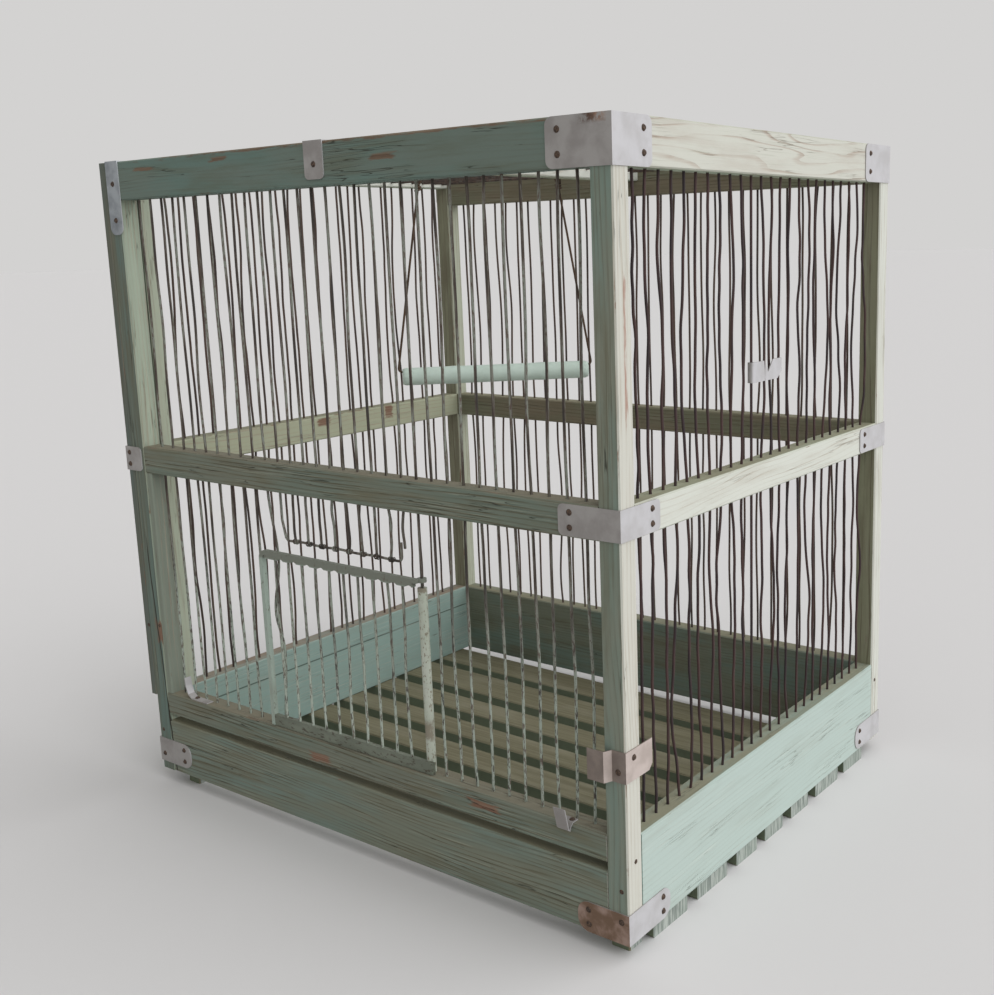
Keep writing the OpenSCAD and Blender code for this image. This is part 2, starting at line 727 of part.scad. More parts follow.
module roof_straps() {
    color(tin_grey)
        difference() {
            for (turn = [0, 180])
                rotate([0, 0, turn])
                    strap(roof_strap_w, roof_strap_face_l, roof_strap_top_l, 3);
            for (n = STRAP_TACKS)
                nail_bore(n);
        }
}

module bracket_tacks() {
    color(nail_dark)
        for (n = BRACKET_TACKS)
            nail(n, tack_head_r, tack_head_h);
}

module frame_nails() {
    color(nail_dark)
        union() {
            for (n = HEADED_NAILS)
                nail(n, nail_head_r, nail_head_h);
            for (n = concat(SLAT_PINS, FEET_PINS))
                pin(n);
        }
}

// ---------------------------------------------------------------- clips

// The outline of a strip of tin along a bent path in the plane, with mitred bends
function unit_2d(v) = v / norm(v);
function step_at(p, i) = unit_2d(p[i + 1] - p[i]);
function miter(p, i) =
    let (a = step_at(p, max(i - 1, 0)), b = step_at(p, min(i, len(p) - 2)), m = unit_2d(a + b))
        [-m[1], m[0]] / (m * a);
function ribbon(p, t) = concat(
    [for (i = [0:len(p) - 1]) p[i] + miter(p, i) * t / 2],
    [for (i = [len(p) - 1:-1:0]) p[i] - miter(p, i) * t / 2]
);

// The strip clip: a wing that stands out in front, a step back to the post, the corner, and
// a wing along the side that reaches past the post, with its lower corner cut off
module strip_clip() {
    face_y = -half_d - tin_t / 2;
    side_x = half_w + tin_t / 2;
    wing_x = half_w - strip_wing_x;
    wing_y = -in_d + strip_wing_y;
    step_x = half_w - 0.62 * post_s;
    side_cut = 3;
    path = [
        [wing_x, face_y - strip_clip_out],
        [step_x - 2, face_y - strip_clip_out],
        [step_x, face_y],
        [side_x, face_y],
        [side_x, wing_y]
    ];
    color(tin_grey)
        difference() {
            translate([0, 0, strip_clip_z])
                linear_extrude(height = strip_clip_h)
                    polygon(ribbon(path, tin_t));
            translate([half_w - 1, wing_y, strip_clip_z])
                rotate([90, 0, 90])
                    linear_extrude(height = 3)
                        polygon([[1, -1], [-side_cut - 1, -1], [1, side_cut + 1]]);
            for (n = CLIP_TACKS)
                nail_bore(n);
        }
}

// The left hook clip: a strip tacked along the top of the sill in front of the wires, its
// left end curled up
module hook_clip_left() {
    z = tin_t / 2;
    flat_l = 14;
    path = [[flat_l, z], [-2.5, z], [-6, z + 2.5], [-8, 0.6 * hook_left_h], [-8.6, hook_left_h]];
    front_y = -half_d + 0.4;
    w = -row_y - wire_r - move_gap - front_y;
    color(tin_grey)
        difference() {
            translate([hook_left_x, front_y + w, sill_top])
                rotate([90, 0, 0])
                    linear_extrude(height = w)
                        polygon(ribbon(path, tin_t));
            for (n = CLIP_TACKS)
                nail_bore(n);
        }
}

// The right hook clip: a strip tacked to the top of the sill, folded down over its front edge
// and up again into a leaf that leans forward
module hook_clip_right() {
    z = tin_t / 2;
    profile = [[4.8, z], [0.4, z], [-1.4, -1.3], [-2.2, -3.1], [-3.4, -2.1],
        [-4.6, 0.35 * hook_right_h], [-6.2, hook_right_h]];
    color(tin_grey)
        difference() {
            translate([hook_right_x - hook_clip_w / 2, -half_d, sill_top])
                rotate([90, 0, 90])
                    linear_extrude(height = hook_clip_w)
                        polygon(ribbon(profile, tin_t));
            for (n = CLIP_TACKS)
                nail_bore(n);
        }
}

// The clip for greens: a plate just outside the wires, notched along its upper edge and with
// its lower corner cut off, rolled round one wire at its front end
greens_wire = 11;
module greens_clip() {
    y0 = side_y(greens_wire);
    plate_x = row_x + greens_roll_r - tin_t;
    notch = 0.6 * greens_h;
    notch_y = 0.5 * greens_l;
    notch_back = 6;
    notch_front = 4;
    cut = 5;
    outline = [
        [0, 0], [greens_l - cut, 0], [greens_l, 0.8 * cut], [greens_l, greens_h],
        [notch_y + notch_back, greens_h], [notch_y, greens_h - notch],
        [notch_y - notch_front, greens_h], [0, greens_h]
    ];
    color(tin_grey)
        difference() {
            union() {
                translate([row_x, y0, greens_z])
                    cylinder(h = greens_h, r = greens_roll_r);
                translate([plate_x, y0, greens_z])
                    rotate([90, 0, 90])
                        linear_extrude(height = tin_t)
                            polygon(outline);
            }
            translate([row_x, y0, greens_z - 1])
                cylinder(h = greens_h + 2, r = hole_r);
        }
}

// ---------------------------------------------------------------- door

door_x = front_x(door_left_wire) - door_lap;
door_y = -row_y - wire_r - door_stand_off - door_bar_t / 2;
door_n = door_spaces - 1;
door_pitch = (hinge_x - door_x) / door_spaces;
door_bar_z = door_top - door_bar_w;
door_wire_bite = 3.5;
barrel_top = door_bar_z - 0.5;
DOOR_WIRES = [for (k = [1:door_n])
    [door_x + k * door_pitch, door_y, door_z + door_strip_h - door_wire_bite,
        door_bar_z + door_wire_bite]];

module barrel(r) {
    translate([hinge_x, -row_y, door_z])
        cylinder(h = barrel_top - door_z, r = r);
}

// The outline of the upright, the rounded corner and the top bar. The lower edge of the bar
// is scalloped between the wires, and only its top reaches on to the hinge wire.
tongue_h = 2.2;
module door_outline() {
    left = door_x - door_rod_w / 2;
    bar_end = hinge_x - barrel_r - 0.6;
    corner_z = door_top - door_corner_r;
    scallop_r = 0.33 * door_pitch;
    scallop_depth = 1.2;
    difference() {
        union() {
            translate([left, door_z])
                square([door_rod_w, corner_z - door_z]);
            intersection() {
                translate([left + door_corner_r, corner_z])
                    difference() {
                        circle(door_corner_r);
                        circle(door_corner_r - door_rod_w);
                    }
                translate([left, corner_z])
                    square(door_corner_r);
            }
            translate([left + door_corner_r, door_bar_z])
                square([bar_end - left - door_corner_r, door_bar_w]);
            translate([bar_end, door_top - tongue_h])
                square([hinge_x - bar_end, tongue_h]);
        }
        for (k = [1.5:door_n + 0.5])
            translate([door_x + k * door_pitch, door_bar_z + scallop_depth - scallop_r])
                circle(scallop_r);
    }
}

// The folded tin frame, with an eye round the hinge wire at the end of its bar
module door_frame() {
    eye_z = door_top - tongue_h;
    color(pale_green)
        difference() {
            union() {
                translate([0, door_y + door_bar_t / 2, 0])
                    rotate([90, 0, 0])
                        linear_extrude(height = door_bar_t)
                            door_outline();
                translate([hinge_x, -row_y, eye_z])
                    cylinder(h = tongue_h, r = barrel_r);
            }
            for (w = DOOR_WIRES)
                upright(w, hole_r, hole_clear);
            translate([hinge_x, -row_y, eye_z - 1])
                cylinder(h = tongue_h + 2, r = hole_r);
        }
}

// The tin strip folded round the lower ends of the door wires
module door_bottom_strip() {
    left = door_x + door_rod_w / 2;
    color(pale_green)
        difference() {
            translate([left, door_y - door_strip_t / 2, door_z])
                cube([hinge_x + door_strip_past - left, door_strip_t, door_strip_h]);
            for (w = DOOR_WIRES)
                upright(w, hole_r, hole_clear);
            barrel(barrel_r);
        }
}

module door_wires() { upright_row(DOOR_WIRES, wire_green); }

// The rolled barrel that turns on the hinge wire
module door_hinge_barrel() {
    color(pale_green)
        difference() {
            barrel(barrel_r);
            translate([hinge_x, -row_y, door_z - 1])
                cylinder(h = barrel_top - door_z + 2, r = hole_r);
        }
}

// ---------------------------------------------------------------- swing

hanger_r = hanger_d / 2;
hang_clear = 0.1;
swing_y0 = roof_y(swing_wire);
swing_y1 = roof_y(swing_wire + swing_spaces);
swing_half = norm([swing_dx, swing_y1 - swing_y0]) / 2;
swing_turn = atan2(swing_y1 - swing_y0, swing_dx);
swing_mid = [-swing_x, (swing_y0 + swing_y1) / 2, 0];
perch_z = roof_wire_z - swing_drop;
rod_z = perch_z + cane_bore / 2 - hanger_r - hang_clear;
hook_z = roof_wire_z + wire_r + hang_clear + hanger_r - hook_r;

// Turns children drawn along X about the middle of the swing
module at_swing() {
    translate(swing_mid)
        rotate([0, 0, swing_turn])
            children();
}

// Half of the hanger, from the middle of the rod inside the cane, round the corner, up the
// slanting side and round the hook over the roof wire
rod_half = cane_l / 2 + cane_end_gap;
bend_r = cane_end_gap - hang_clear;
side_slant = atan2(rod_half - swing_half, hook_z - rod_z);
half_path = concat(
    [[0, 0, rod_z]],
    arc([rod_half - bend_r, 0, rod_z + bend_r], bend_r, 270, 360 + side_slant, 5),
    [[swing_half + 0.4, 0, hook_z - 2 * hook_r]],
    arc([swing_half, 0, hook_z], hook_r, 230, -60, 14)
);
function mirrored(p) = [-p[0], p[1], p[2]];
hanger_path = concat(
    [for (i = [len(half_path) - 1:-1:1]) mirrored(half_path[i])], half_path
);

module swing_hanger() {
    color(wire_rust)
        at_swing()
            bent_wire(hanger_path, hanger_r, 8);
}

module perch_cane() {
    color(cane_green)
        at_swing()
            translate([-cane_l / 2, 0, perch_z])
                rotate([0, 90, 0])
                    difference() {
                        cylinder(h = cane_l, r = cane_d / 2);
                        translate([0, 0, -1])
                            cylinder(h = cane_l + 2, r = cane_bore / 2);
                    }
}

// ---------------------------------------------------------------- nodes

post_front_left();
post_front_right();
post_back_left();
post_back_right();
left_lath();
top_rail_front();
top_rail_back();
top_rail_right();
top_batten_left();
mid_rail_front();
mid_rail_back();
mid_rail_left();
mid_rail_right();
front_sill();
bottom_board_front();
bottom_board_back();
bottom_board_left();
bottom_board_right();
roof_centre_bar();
left_stiles();
front_feet();
for (k = SLATS)
    floor_slat(k);
front_wires();
front_short_wires();
door_head_wire();
back_wires();
left_wires();
right_wires();
roof_wires();
bracket_top_front_right();
bracket_top_back_right();
bracket_top_back_left();
bracket_mid_front_right();
bracket_mid_front_left();
bracket_mid_back_right();
bracket_mid_back_left();
bracket_foot_front_right();
bracket_foot_front_left();
bracket_foot_back_right();
bracket_foot_back_left();
strap_top_front_left();
roof_straps();
bracket_tacks();
frame_nails();
strip_clip();
hook_clip_left();
hook_clip_right();
greens_clip();
door_frame();
door_hinge_barrel();
door_wires();
door_bottom_strip();
swing_hanger();
perch_cane();
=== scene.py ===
"""Looks of a canary breeding cage: weathered painted softwood, hand-set iron wires and tin fittings.

The solids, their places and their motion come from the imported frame. This script dresses the
timber and the tin, and replaces the straight wires, the hanger and the cane by surfaces with
the bends, twists and joints of the real ones. Lengths are in metres; MM turns a millimetre
into one.
"""

from __future__ import annotations

import json
import logging
import math
from dataclasses import dataclass, replace
from enum import Enum
from typing import Any, Sequence

import bpy
import numpy as np
from mathutils import Matrix, Vector


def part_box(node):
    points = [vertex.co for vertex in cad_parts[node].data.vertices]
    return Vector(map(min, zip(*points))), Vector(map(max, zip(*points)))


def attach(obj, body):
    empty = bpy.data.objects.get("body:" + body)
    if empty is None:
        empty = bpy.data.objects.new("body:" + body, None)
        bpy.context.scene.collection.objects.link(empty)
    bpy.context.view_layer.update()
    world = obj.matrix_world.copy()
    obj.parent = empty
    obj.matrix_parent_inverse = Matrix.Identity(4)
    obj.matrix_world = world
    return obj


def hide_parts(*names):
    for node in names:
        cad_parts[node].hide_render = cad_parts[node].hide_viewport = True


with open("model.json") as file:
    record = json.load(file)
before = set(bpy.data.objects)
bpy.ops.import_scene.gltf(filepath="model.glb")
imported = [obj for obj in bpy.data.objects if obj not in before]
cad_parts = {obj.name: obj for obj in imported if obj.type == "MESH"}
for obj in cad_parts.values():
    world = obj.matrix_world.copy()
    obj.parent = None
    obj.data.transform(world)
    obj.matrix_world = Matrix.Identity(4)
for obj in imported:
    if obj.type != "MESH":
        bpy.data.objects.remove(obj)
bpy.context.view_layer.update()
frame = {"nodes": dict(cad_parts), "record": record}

Array = np.ndarray
Color = tuple[float, float, float, float]
Socket = bpy.types.NodeSocket
MM = 0.001
WIRE_R = 0.8 * MM
LOG = logging.getLogger("cage")


# ------------------------------------------------------------------------------ node graphs


def linear(code: str) -> Color:
    """Turns an sRGB hex colour into a linear one.

    Args:
        code: six hex digits, with or without a leading hash.

    Returns:
        Linear red, green, blue and an alpha of one.
    """
    raw = [int(code.lstrip("#")[i : i + 2], 16) / 255 for i in (0, 2, 4)]
    parts = [c / 12.92 if c <= 0.04045 else ((c + 0.055) / 1.055) ** 2.4 for c in raw]
    return (parts[0], parts[1], parts[2], 1.0)


class Grain(Enum):
    """Which way the fibres of a length of timber run, as the axis number."""

    ALONG_X = 0
    ALONG_Y = 1
    ALONG_Z = 2


@dataclass
class Graph:
    """One node tree, with short ways to add the kinds of node that the finishes use."""

    tree: bpy.types.NodeTree

    def add(self, kind: str, inputs: dict[Any, Any] | None = None, **settings: Any) -> bpy.types.Node:
        """Adds one shader node with its settings, values and links.

        Args:
            kind: the node's type name, after its "ShaderNode".
            inputs: socket name or number to a value, or to the output socket that feeds it.
            **settings: properties of the node itself.

        Returns:
            The new node.
        """
        node = self.tree.nodes.new("ShaderNode" + kind)
        for name, value in settings.items():
            setattr(node, name, value)
        for name, value in (inputs or {}).items():
            self.feed(node.inputs[name], value)
        return node

    def feed(self, socket: Socket, value: Any) -> None:
        """Links an output to a socket, or sets the socket's own value.

        Args:
            socket: the input to feed.
            value: an output socket, or a value.
        """
        if isinstance(value, bpy.types.NodeSocket):
            self.tree.links.new(value, socket)
        else:
            socket.default_value = value

    def math(self, how: str, values: Sequence[Any]) -> Socket:
        """Applies one arithmetic operation from the first value to the last.

        Args:
            how: the operation's name.
            values: two or more values or sockets.

        Returns:
            The result's socket.
        """
        total = values[0]
        for value in values[1:]:
            total = self.add("Math", {0: total, 1: value}, operation=how).outputs[0]
        return total

    def times(self, *values: Any) -> Socket:
        """The product of all values."""
        return self.math("MULTIPLY", values)

    def plus(self, *values: Any) -> Socket:
        """The sum of all values."""
        return self.math("ADD", values)

    def less(self, *values: Any) -> Socket:
        """The first value less all the others."""
        return self.math("SUBTRACT", values)

    def most(self, *values: Any) -> Socket:
        """The greatest of all values."""
        return self.math("MAXIMUM", values)

    def size(self, value: Any) -> Socket:
        """The value without its sign."""
        return self.math("ABSOLUTE", (value, 0.0))

    def vector(self, how: str, a: Any, b: Any = (0, 0, 0), out: Any = 0) -> Socket:
        """One operation on two vectors.

        Args:
            how: the operation's name.
            a: first vector or socket.
            b: second vector or socket.
            out: the output's name or number.

        Returns:
            The result's socket.
        """
        return self.add("VectorMath", {0: a, 1: b}, operation=how).outputs[out]

    def place(self) -> Socket:
        """Where a point is in the cage, in metres."""
        return self.add("TexCoord").outputs["Object"]

    def normal(self) -> Socket:
        """Which way the surface faces at a point."""
        return self.add("TexCoord").outputs["Normal"]

    def axes(self, vector: Socket) -> Sequence[Socket]:
        """A vector's three parts."""
        return self.add("SeparateXYZ", {0: vector}).outputs

    def noise(
        self, along: Grain, across_mm: float, along_mm: float,
        detail: float = 4.0, rough: float = 0.55, warp: float = 0.0,
    ) -> Socket:
        """Fractal noise, drawn out along the fibres.

        Args:
            along: the axis that the fibres follow.
            across_mm: real width of one feature, in millimetres.
            along_mm: real length of one feature, in millimetres.
            detail: number of octaves.
            rough: strength of each octave against the one before.
            warp: distortion of the lookup.

        Returns:
            The grey value's socket.
        """
        scale = [1 / (across_mm * MM)] * 3
        scale[along.value] = 1 / (along_mm * MM)
        where = self.add("Mapping", {"Vector": self.place(), "Scale": scale}).outputs["Vector"]
        shape = {"Vector": where, "Scale": 1.0, "Detail": detail, "Roughness": rough, "Distortion": warp}
        return self.add("TexNoise", shape).outputs["Fac"]

    def cut(
        self, value: Socket, low: float, high: float, to_low: float = 0.0, to_high: float = 1.0
    ) -> Socket:
        """A soft threshold: low and below gives to_low, high and above gives to_high.

        Args:
            value: the value to cut.
            low: where the slope starts.
            high: where the slope ends.
            to_low: result at the start.
            to_high: result at the end.

        Returns:
            The clamped result's socket.
        """
        ends = {"Value": value, "From Min": low, "From Max": high, "To Min": to_low, "To Max": to_high}
        return self.add("MapRange", ends, interpolation_type="SMOOTHSTEP").outputs["Result"]

    def blend(self, share: Any, low: Any, high: Any) -> Socket:
        """Mixes two colours by a share from nought to one.

        Args:
            share: value or socket.
            low: the colour at nought, as a hex code or a socket.
            high: the colour at one, as a hex code or a socket.

        Returns:
            The colour's socket.
        """
        low, high = (linear(c) if isinstance(c, str) else c for c in (low, high))
        return self.add("Mix", {0: share, 6: low, 7: high}, data_type="RGBA").outputs[2]

    def growth(self, along: Grain, spacing_mm: float, sway_mm: float) -> Socket:
        """Growth rings as a board's faces cut them.

        At p the phase is fract((a . p + S (n(p) - 1/2)) / d), with a a slant across the fibres,
        d the spacing, S the sway and n a long noise. It rises slowly and falls at once, as the
        soft wood of a year darkens up to its hard edge.

        Args:
            along: the axis of the fibres.
            spacing_mm: distance between two rings, across them.
            sway_mm: how far the rings wander along the board.

        Returns:
            The phase's socket, from nought to one.
        """
        lean = [0.55, 0.62, 0.7]
        lean[along.value] = 0.0
        across = self.vector("DOT_PRODUCT", self.place(), lean, "Value")
        sway = self.less(self.noise(along, 26, 210, 2, 0.45), 0.5)
        moved = self.plus(across, self.times(sway, sway_mm * MM))
        return self.math("FRACT", (self.math("DIVIDE", (moved, spacing_mm * MM)), 0.0))


@dataclass
class Finish(Graph):
    """The graph of one new material, with a Principled shader at its end."""

    material: bpy.types.Material
    shader: bpy.types.Node

    @classmethod
    def start(cls, name: str) -> "Finish":
        """An empty material whose output is linked to its shader.

        Args:
            name: the material's name.

        Returns:
            The graph to build on.
        """
        material = bpy.data.materials.new(name)
        material.use_nodes = True
        material.node_tree.nodes.clear()
        graph = Graph(material.node_tree)
        shader = graph.add("BsdfPrincipled")
        graph.add("OutputMaterial", {"Surface": shader.outputs["BSDF"]})
        return cls(material.node_tree, material, shader)

    def end(
        self, colour: Any, rough: Any, shine: float = 0.5, metal: Any = 0.0,
        height: Socket | None = None, depth_mm: float = 0.3, strength: float = 0.8,
    ) -> bpy.types.Material:
        """Feeds the shader.

        Args:
            colour: linear colour or socket.
            rough: roughness, as a value or socket.
            shine: the specular level.
            metal: how metallic it is, as a value or socket.
            height: a relief field from nought to one, if there is one.
            depth_mm: real height of one unit of it, in millimetres.
            strength: share of the relief.

        Returns:
            The finished material.
        """
        values = {"Base Color": colour, "Roughness": rough, "Specular IOR Level": shine, "Metallic": metal}
        if height is not None:
            bump = self.add("Bump", {"Height": height, "Strength": strength, "Distance": depth_mm * MM})
            values["Normal"] = bump.outputs["Normal"]
        for name, value in values.items():
            self.feed(self.shader.inputs[name], value)
        return self.material


# ------------------------------------------------------------------------------ finishes

# Real sizes of the patterns, across the fibres and along them, in millimetres
FIBRE_MM = (0.7, 55)
CLOUD_MM = (22, 110)
STAIN_MM = (9, 75)
WORN_LENGTH_MM = (8, 60)
TEAR_MM = (1.6, 12)
CRACK_MM = (1.5, 46)
FLAKE_MM = (1.8, 18)
SAWN_FIBRE_MM = (1.2, 70)
SAWN_CLOUD_MM = (16, 70)
SAW_MARK_MM = (1.3, 14)
# A split bends by this much, and shows only in front of the posts' front faces
SPLIT_WANDER_MM = 4
POST_FRONT_MM = (-157.2, -156.5)


@dataclass(frozen=True)
class Patch:
    """A place on the cage where the finish is worn or stained, as a soft box with a torn edge."""

    middle_mm: tuple[float, float, float]
    half_mm: tuple[float, float, float]
    torn: float = 1.5

    def mask(self, g: Graph, edge: Socket) -> Socket:
        """One inside the box and nought outside.

        The distance is max(|x| / hx, |y| / hy, |z| / hz) from the middle, moved by a noise.

        Args:
            g: the graph to add to.
            edge: a noise from nought to one that tears the edge.

        Returns:
            The mask's socket.
        """
        moved = g.vector("SUBTRACT", g.place(), [v * MM for v in self.middle_mm])
        shared = g.vector("DIVIDE", moved, [v * MM for v in self.half_mm])
        far = g.most(*g.axes(g.vector("ABSOLUTE", shared)))
        pulled = g.times(g.less(edge, 0.5), self.torn)
        return g.cut(g.plus(far, pulled), 0.98 - 0.26 * self.torn, 1.0, 1.0, 0.0)


@dataclass(frozen=True)
class Split:
    """A long crack down the front, straight from one point to another, in the XZ plane."""

    top_mm: tuple[float, float]
    foot_mm: tuple[float, float]
    width_mm: float = 1.1

    def mask(self, g: Graph, wander: Socket) -> Socket:
        """One in the crack and nought beside it.

        The crack is at x = x0 + (z0 - z) m, moved by a noise; it fades out round its top end and is not
        stopped at its foot.

        Args:
            g: the graph to add to.
            wander: a noise from nought to one that bends the line.

        Returns:
            The mask's socket.
        """
        (x0, z0), (x1, z1) = self.top_mm, self.foot_mm
        x, y, z = g.axes(g.place())
        fall = g.times(g.less(z0 * MM, z), (x1 - x0) / (z0 - z1))
        line = g.plus(fall, x0 * MM, g.times(g.less(wander, 0.5), SPLIT_WANDER_MM * MM))
        near = g.cut(g.size(g.less(x, line)), 0.3 * self.width_mm * MM, 0.6 * self.width_mm * MM, 1.0, 0.0)
        under = g.cut(z, (z0 - 25) * MM, (z0 + 5) * MM, 1.0, 0.0)
        front = g.cut(y, *(v * MM for v in POST_FRONT_MM), 1.0, 0.0)
        return g.times(near, under, front)


@dataclass(frozen=True)
class WeatheredPaint:
    """Brushed oil paint on sawn softwood, worn along the grain and flaking after decades.

    The eye gets a dull, chalky colour in which the board's growth rings stand out as fine,
    nearly parallel lines, short hair cracks along the fibres, a few worn places and edges
    where grey-brown wood shows, and dust on everything that faces up.

    Attributes:
        paint: the colour away from the window.
        tint: its fresher places.
        sunned: the colour of faces towards the window, paler as painted window light.
        dirt: what has settled in the hollows.
        ring, sun_ring: the line of a growth ring, away from the window, and paler as painted window light
            towards it.
        pale: worn fibres that catch the light.
        dust: what lies on faces that look up.
        wood, worn_wood: bare wood under lost paint, its soft and its hard fibres.
        crack: the colour inside a crack.
        ringed, cracked, flaked, sun: how much there is of each, from nought to one; the last sets the
            painted window light.
        spacing_mm, sway_mm: the growth rings' spacing and how far they wander.
        ring_from: where in a ring its line starts, so that more gives a finer line.
        patches: places worn down to the wood.
        recoats: places in another colour.
        splits: long cracks.
    """

    name: str
    paint: str
    tint: str
    sunned: str
    dirt: str = "#67634f"
    ring: str = "#57513f"
    sun_ring: str = "#a39583"
    pale: str = "#9da08f"
    dust: str = "#85826c"
    wood: str = "#74503f"
    worn_wood: str = "#88715f"
    crack: str = "#35352c"
    ringed: float = 0.5
    cracked: float = 0.4
    flaked: float = 0.25
    sun: float = 0.95
    spacing_mm: float = 1.9
    sway_mm: float = 12.0
    ring_from: float = 0.5
    patches: tuple[Patch, ...] = ()
    recoats: tuple[tuple[Patch, str], ...] = ()
    splits: tuple[Split, ...] = ()

    def dress(self, along: Grain) -> bpy.types.Material:
        """Builds the material for timber whose fibres run one way.

        Args:
            along: the axis of the fibres.

        Returns:
            The finished material.
        """
        g = Finish.start(f"{self.name}_{along.name.lower()}")
        fibres = g.noise(along, *FIBRE_MM, 4, 0.62)
        clouds = g.noise(along, *CLOUD_MM, 5, 0.6)
        stains = g.noise(along, *STAIN_MM, 5, 0.62)
        where = g.noise(along, *WORN_LENGTH_MM, 3, 0.6)
        torn = g.noise(along, *TEAR_MM, 5, 0.65)
        facing = g.axes(g.normal())
        # Faces towards the window get a paler colour: painted window light
        window_lit_mask = g.times(g.cut(facing[0], 0.3, 0.9), self.sun)
        paint = g.blend(g.cut(clouds, 0.4, 0.64, 0.0, 0.85), self.paint, self.tint)
        dirty = g.cut(stains, 0.46, 0.7, 0.0, 0.55)
        paint = g.blend(dirty, paint, self.dirt)
        window_lit_colour = g.blend(g.times(dirty, 0.35), self.sunned, self.sun_ring)
        paint = g.blend(window_lit_mask, paint, window_lit_colour)
        for place, code in self.recoats:
            paint = g.blend(place.mask(g, torn), paint, code)
        # Growth rings wear through in some lengths more than in others
        phase = g.growth(along, self.spacing_mm, self.sway_mm)
        late = g.times(g.cut(phase, self.ring_from, 0.95), g.cut(fibres, 0.3, 0.55, 0.5, 1.0))
        shown = g.times(g.cut(where, 0.4, 0.62, 0.25, 1.0), self.ringed)
        rings = g.times(late, shown)
        # Ring lines are paler towards the window, as painted window light
        paint = g.blend(rings, paint, g.blend(window_lit_mask, self.ring, self.sun_ring))
        paint = g.blend(g.times(g.cut(fibres, 0.52, 0.72), shown, 0.7), paint, self.pale)
        # A hair crack is where a long stretched noise crosses its middle value
        middle = g.size(g.less(g.noise(along, *CRACK_MM, 1, 0.4), 0.5))
        low = 0.66 - 0.2 * self.cracked
        drawn = g.cut(middle, 0.004, 0.02, 1.0, 0.0)
        # Cracks are fainter on faces towards the window, under the painted window light
        cracks = g.times(drawn, g.cut(where, low, low + 0.08), g.less(0.85, g.times(window_lit_mask, 0.25)))
        for split in self.splits:
            cracks = g.most(cracks, split.mask(g, where))
        # Flakes: small islands of lost paint, more of them along the worn edges
        flat = g.most(*g.axes(g.vector("ABSOLUTE", g.normal())))
        edge = g.cut(flat, 0.72, 0.98, 1.0, 0.0)
        worn = g.plus(g.noise(along, *FLAKE_MM, 6, 0.68), g.times(edge, 0.12))
        start = 0.78 - 0.2 * self.flaked
        flakes = g.cut(worn, start, start + 0.06, 0.0, 0.8)
        for patch in self.patches:
            flakes = g.most(flakes, g.times(patch.mask(g, torn), 0.95))
        base = g.blend(flakes, paint, g.blend(g.cut(fibres, 0.35, 0.65), self.wood, self.worn_wood))
        # Dust and droppings lie on what faces up
        lying = g.times(g.cut(facing[2], 0.6, 0.95), g.cut(stains, 0.3, 0.6, 0.55, 0.9))
        base = g.blend(lying, base, self.dust)
        base = g.blend(cracks, base, self.crack)
        height = g.less(g.times(fibres, 0.35), g.times(flakes, 0.3), g.times(rings, 0.4), cracks)
        return g.end(base, 0.8, 0.25, height=height)


@dataclass(frozen=True)
class BareWood:
    """Unpainted sawn pine, greyed by damp and droppings, its sawn ends paler and ribbed.

    The eye gets olive grey boards with faint fibres, a darker green on the faces that look
    forwards and backwards, and pale ends with upright saw marks.
    """

    name: str
    tone: str = "#807c65"
    dark: str = "#6e6a55"
    pale: str = "#8d8a77"
    edges: str = "#6b7460"
    ends: str = "#a9afa8"
    end_ribs: str = "#78807a"
    damp_ends: str = "#8f9a90"

    def dress(self, along: Grain) -> bpy.types.Material:
        """Builds the material for boards whose fibres run one way. Saw marks are 1.3 mm apart.

        Args:
            along: the axis of the fibres.

        Returns:
            The finished material.
        """
        g = Finish.start(f"{self.name}_{along.name.lower()}")
        fibres = g.noise(along, *SAWN_FIBRE_MM, 5, 0.6, 0.2)
        clouds = g.noise(along, *SAWN_CLOUD_MM, 5, 0.6)
        tone = g.blend(g.cut(fibres, 0.35, 0.66), self.dark, self.tone)
        tone = g.blend(g.cut(clouds, 0.45, 0.7, 0.0, 0.5), tone, self.pale)
        end, edge = (g.cut(g.size(part), 0.7, 0.95) for part in g.axes(g.normal())[:2])
        tone = g.blend(edge, tone, self.edges)
        ribs = g.noise(Grain.ALONG_Z, *SAW_MARK_MM, 3, 0.55)
        sawn = g.blend(g.cut(ribs, 0.38, 0.62), self.end_ribs, self.ends)
        sawn = g.blend(g.cut(clouds, 0.4, 0.65, 0.0, 0.45), sawn, self.damp_ends)
        return g.end(g.blend(end, tone, sawn), 0.85, 0.2, height=g.blend(end, fibres, ribs))


@dataclass(frozen=True)
class FlakedWire:
    """Drawn iron wire, brushed over with the cage's paint and rusting through it.

    The eye gets a thin dark line with long duller painted lengths, paler and speckled towards
    the foot, partly where the paint lasted and partly as painted light.
    """

    name: str
    paint: str
    rust: str = "#3d3430"
    glow: str = "#57453b"
    painted: float = 0.5
    foot: str = "#a4aea2"
    foot_mm: tuple[float, float] | None = None

    def dress(self) -> bpy.types.Material:
        """Builds the material. The paint's islands are about 3 mm wide and 40 mm long.

        Returns:
            The finished material.
        """
        g = Finish.start(self.name)
        islands = g.noise(Grain.ALONG_Z, 3, 40, 4, 0.55, 0.2)
        start = 0.66 - 0.36 * self.painted
        kept = g.cut(islands, start, start + 0.2)
        specks = g.noise(Grain.ALONG_Z, 0.9, 3.5, 3, 0.6)
        rust = g.blend(g.cut(islands, 0.35, 0.6), self.rust, self.glow)
        base = g.blend(g.times(kept, g.cut(specks, 0.4, 0.5, 0.15, 1.0)), rust, self.paint)
        # Paler towards the foot: partly paint that lasted, partly painted light
        if self.foot_mm:
            low, high = (v * MM for v in self.foot_mm)
            near = g.cut(g.axes(g.place())[2], low, high, 1.0, 0.0)
            foot_paint_and_light = g.times(near, g.cut(specks, 0.42, 0.5, 0.05, 0.9))
            base = g.blend(foot_paint_and_light, base, self.foot)
        return g.end(base, 0.65, 0.35, height=specks, depth_mm=0.08, strength=0.6)


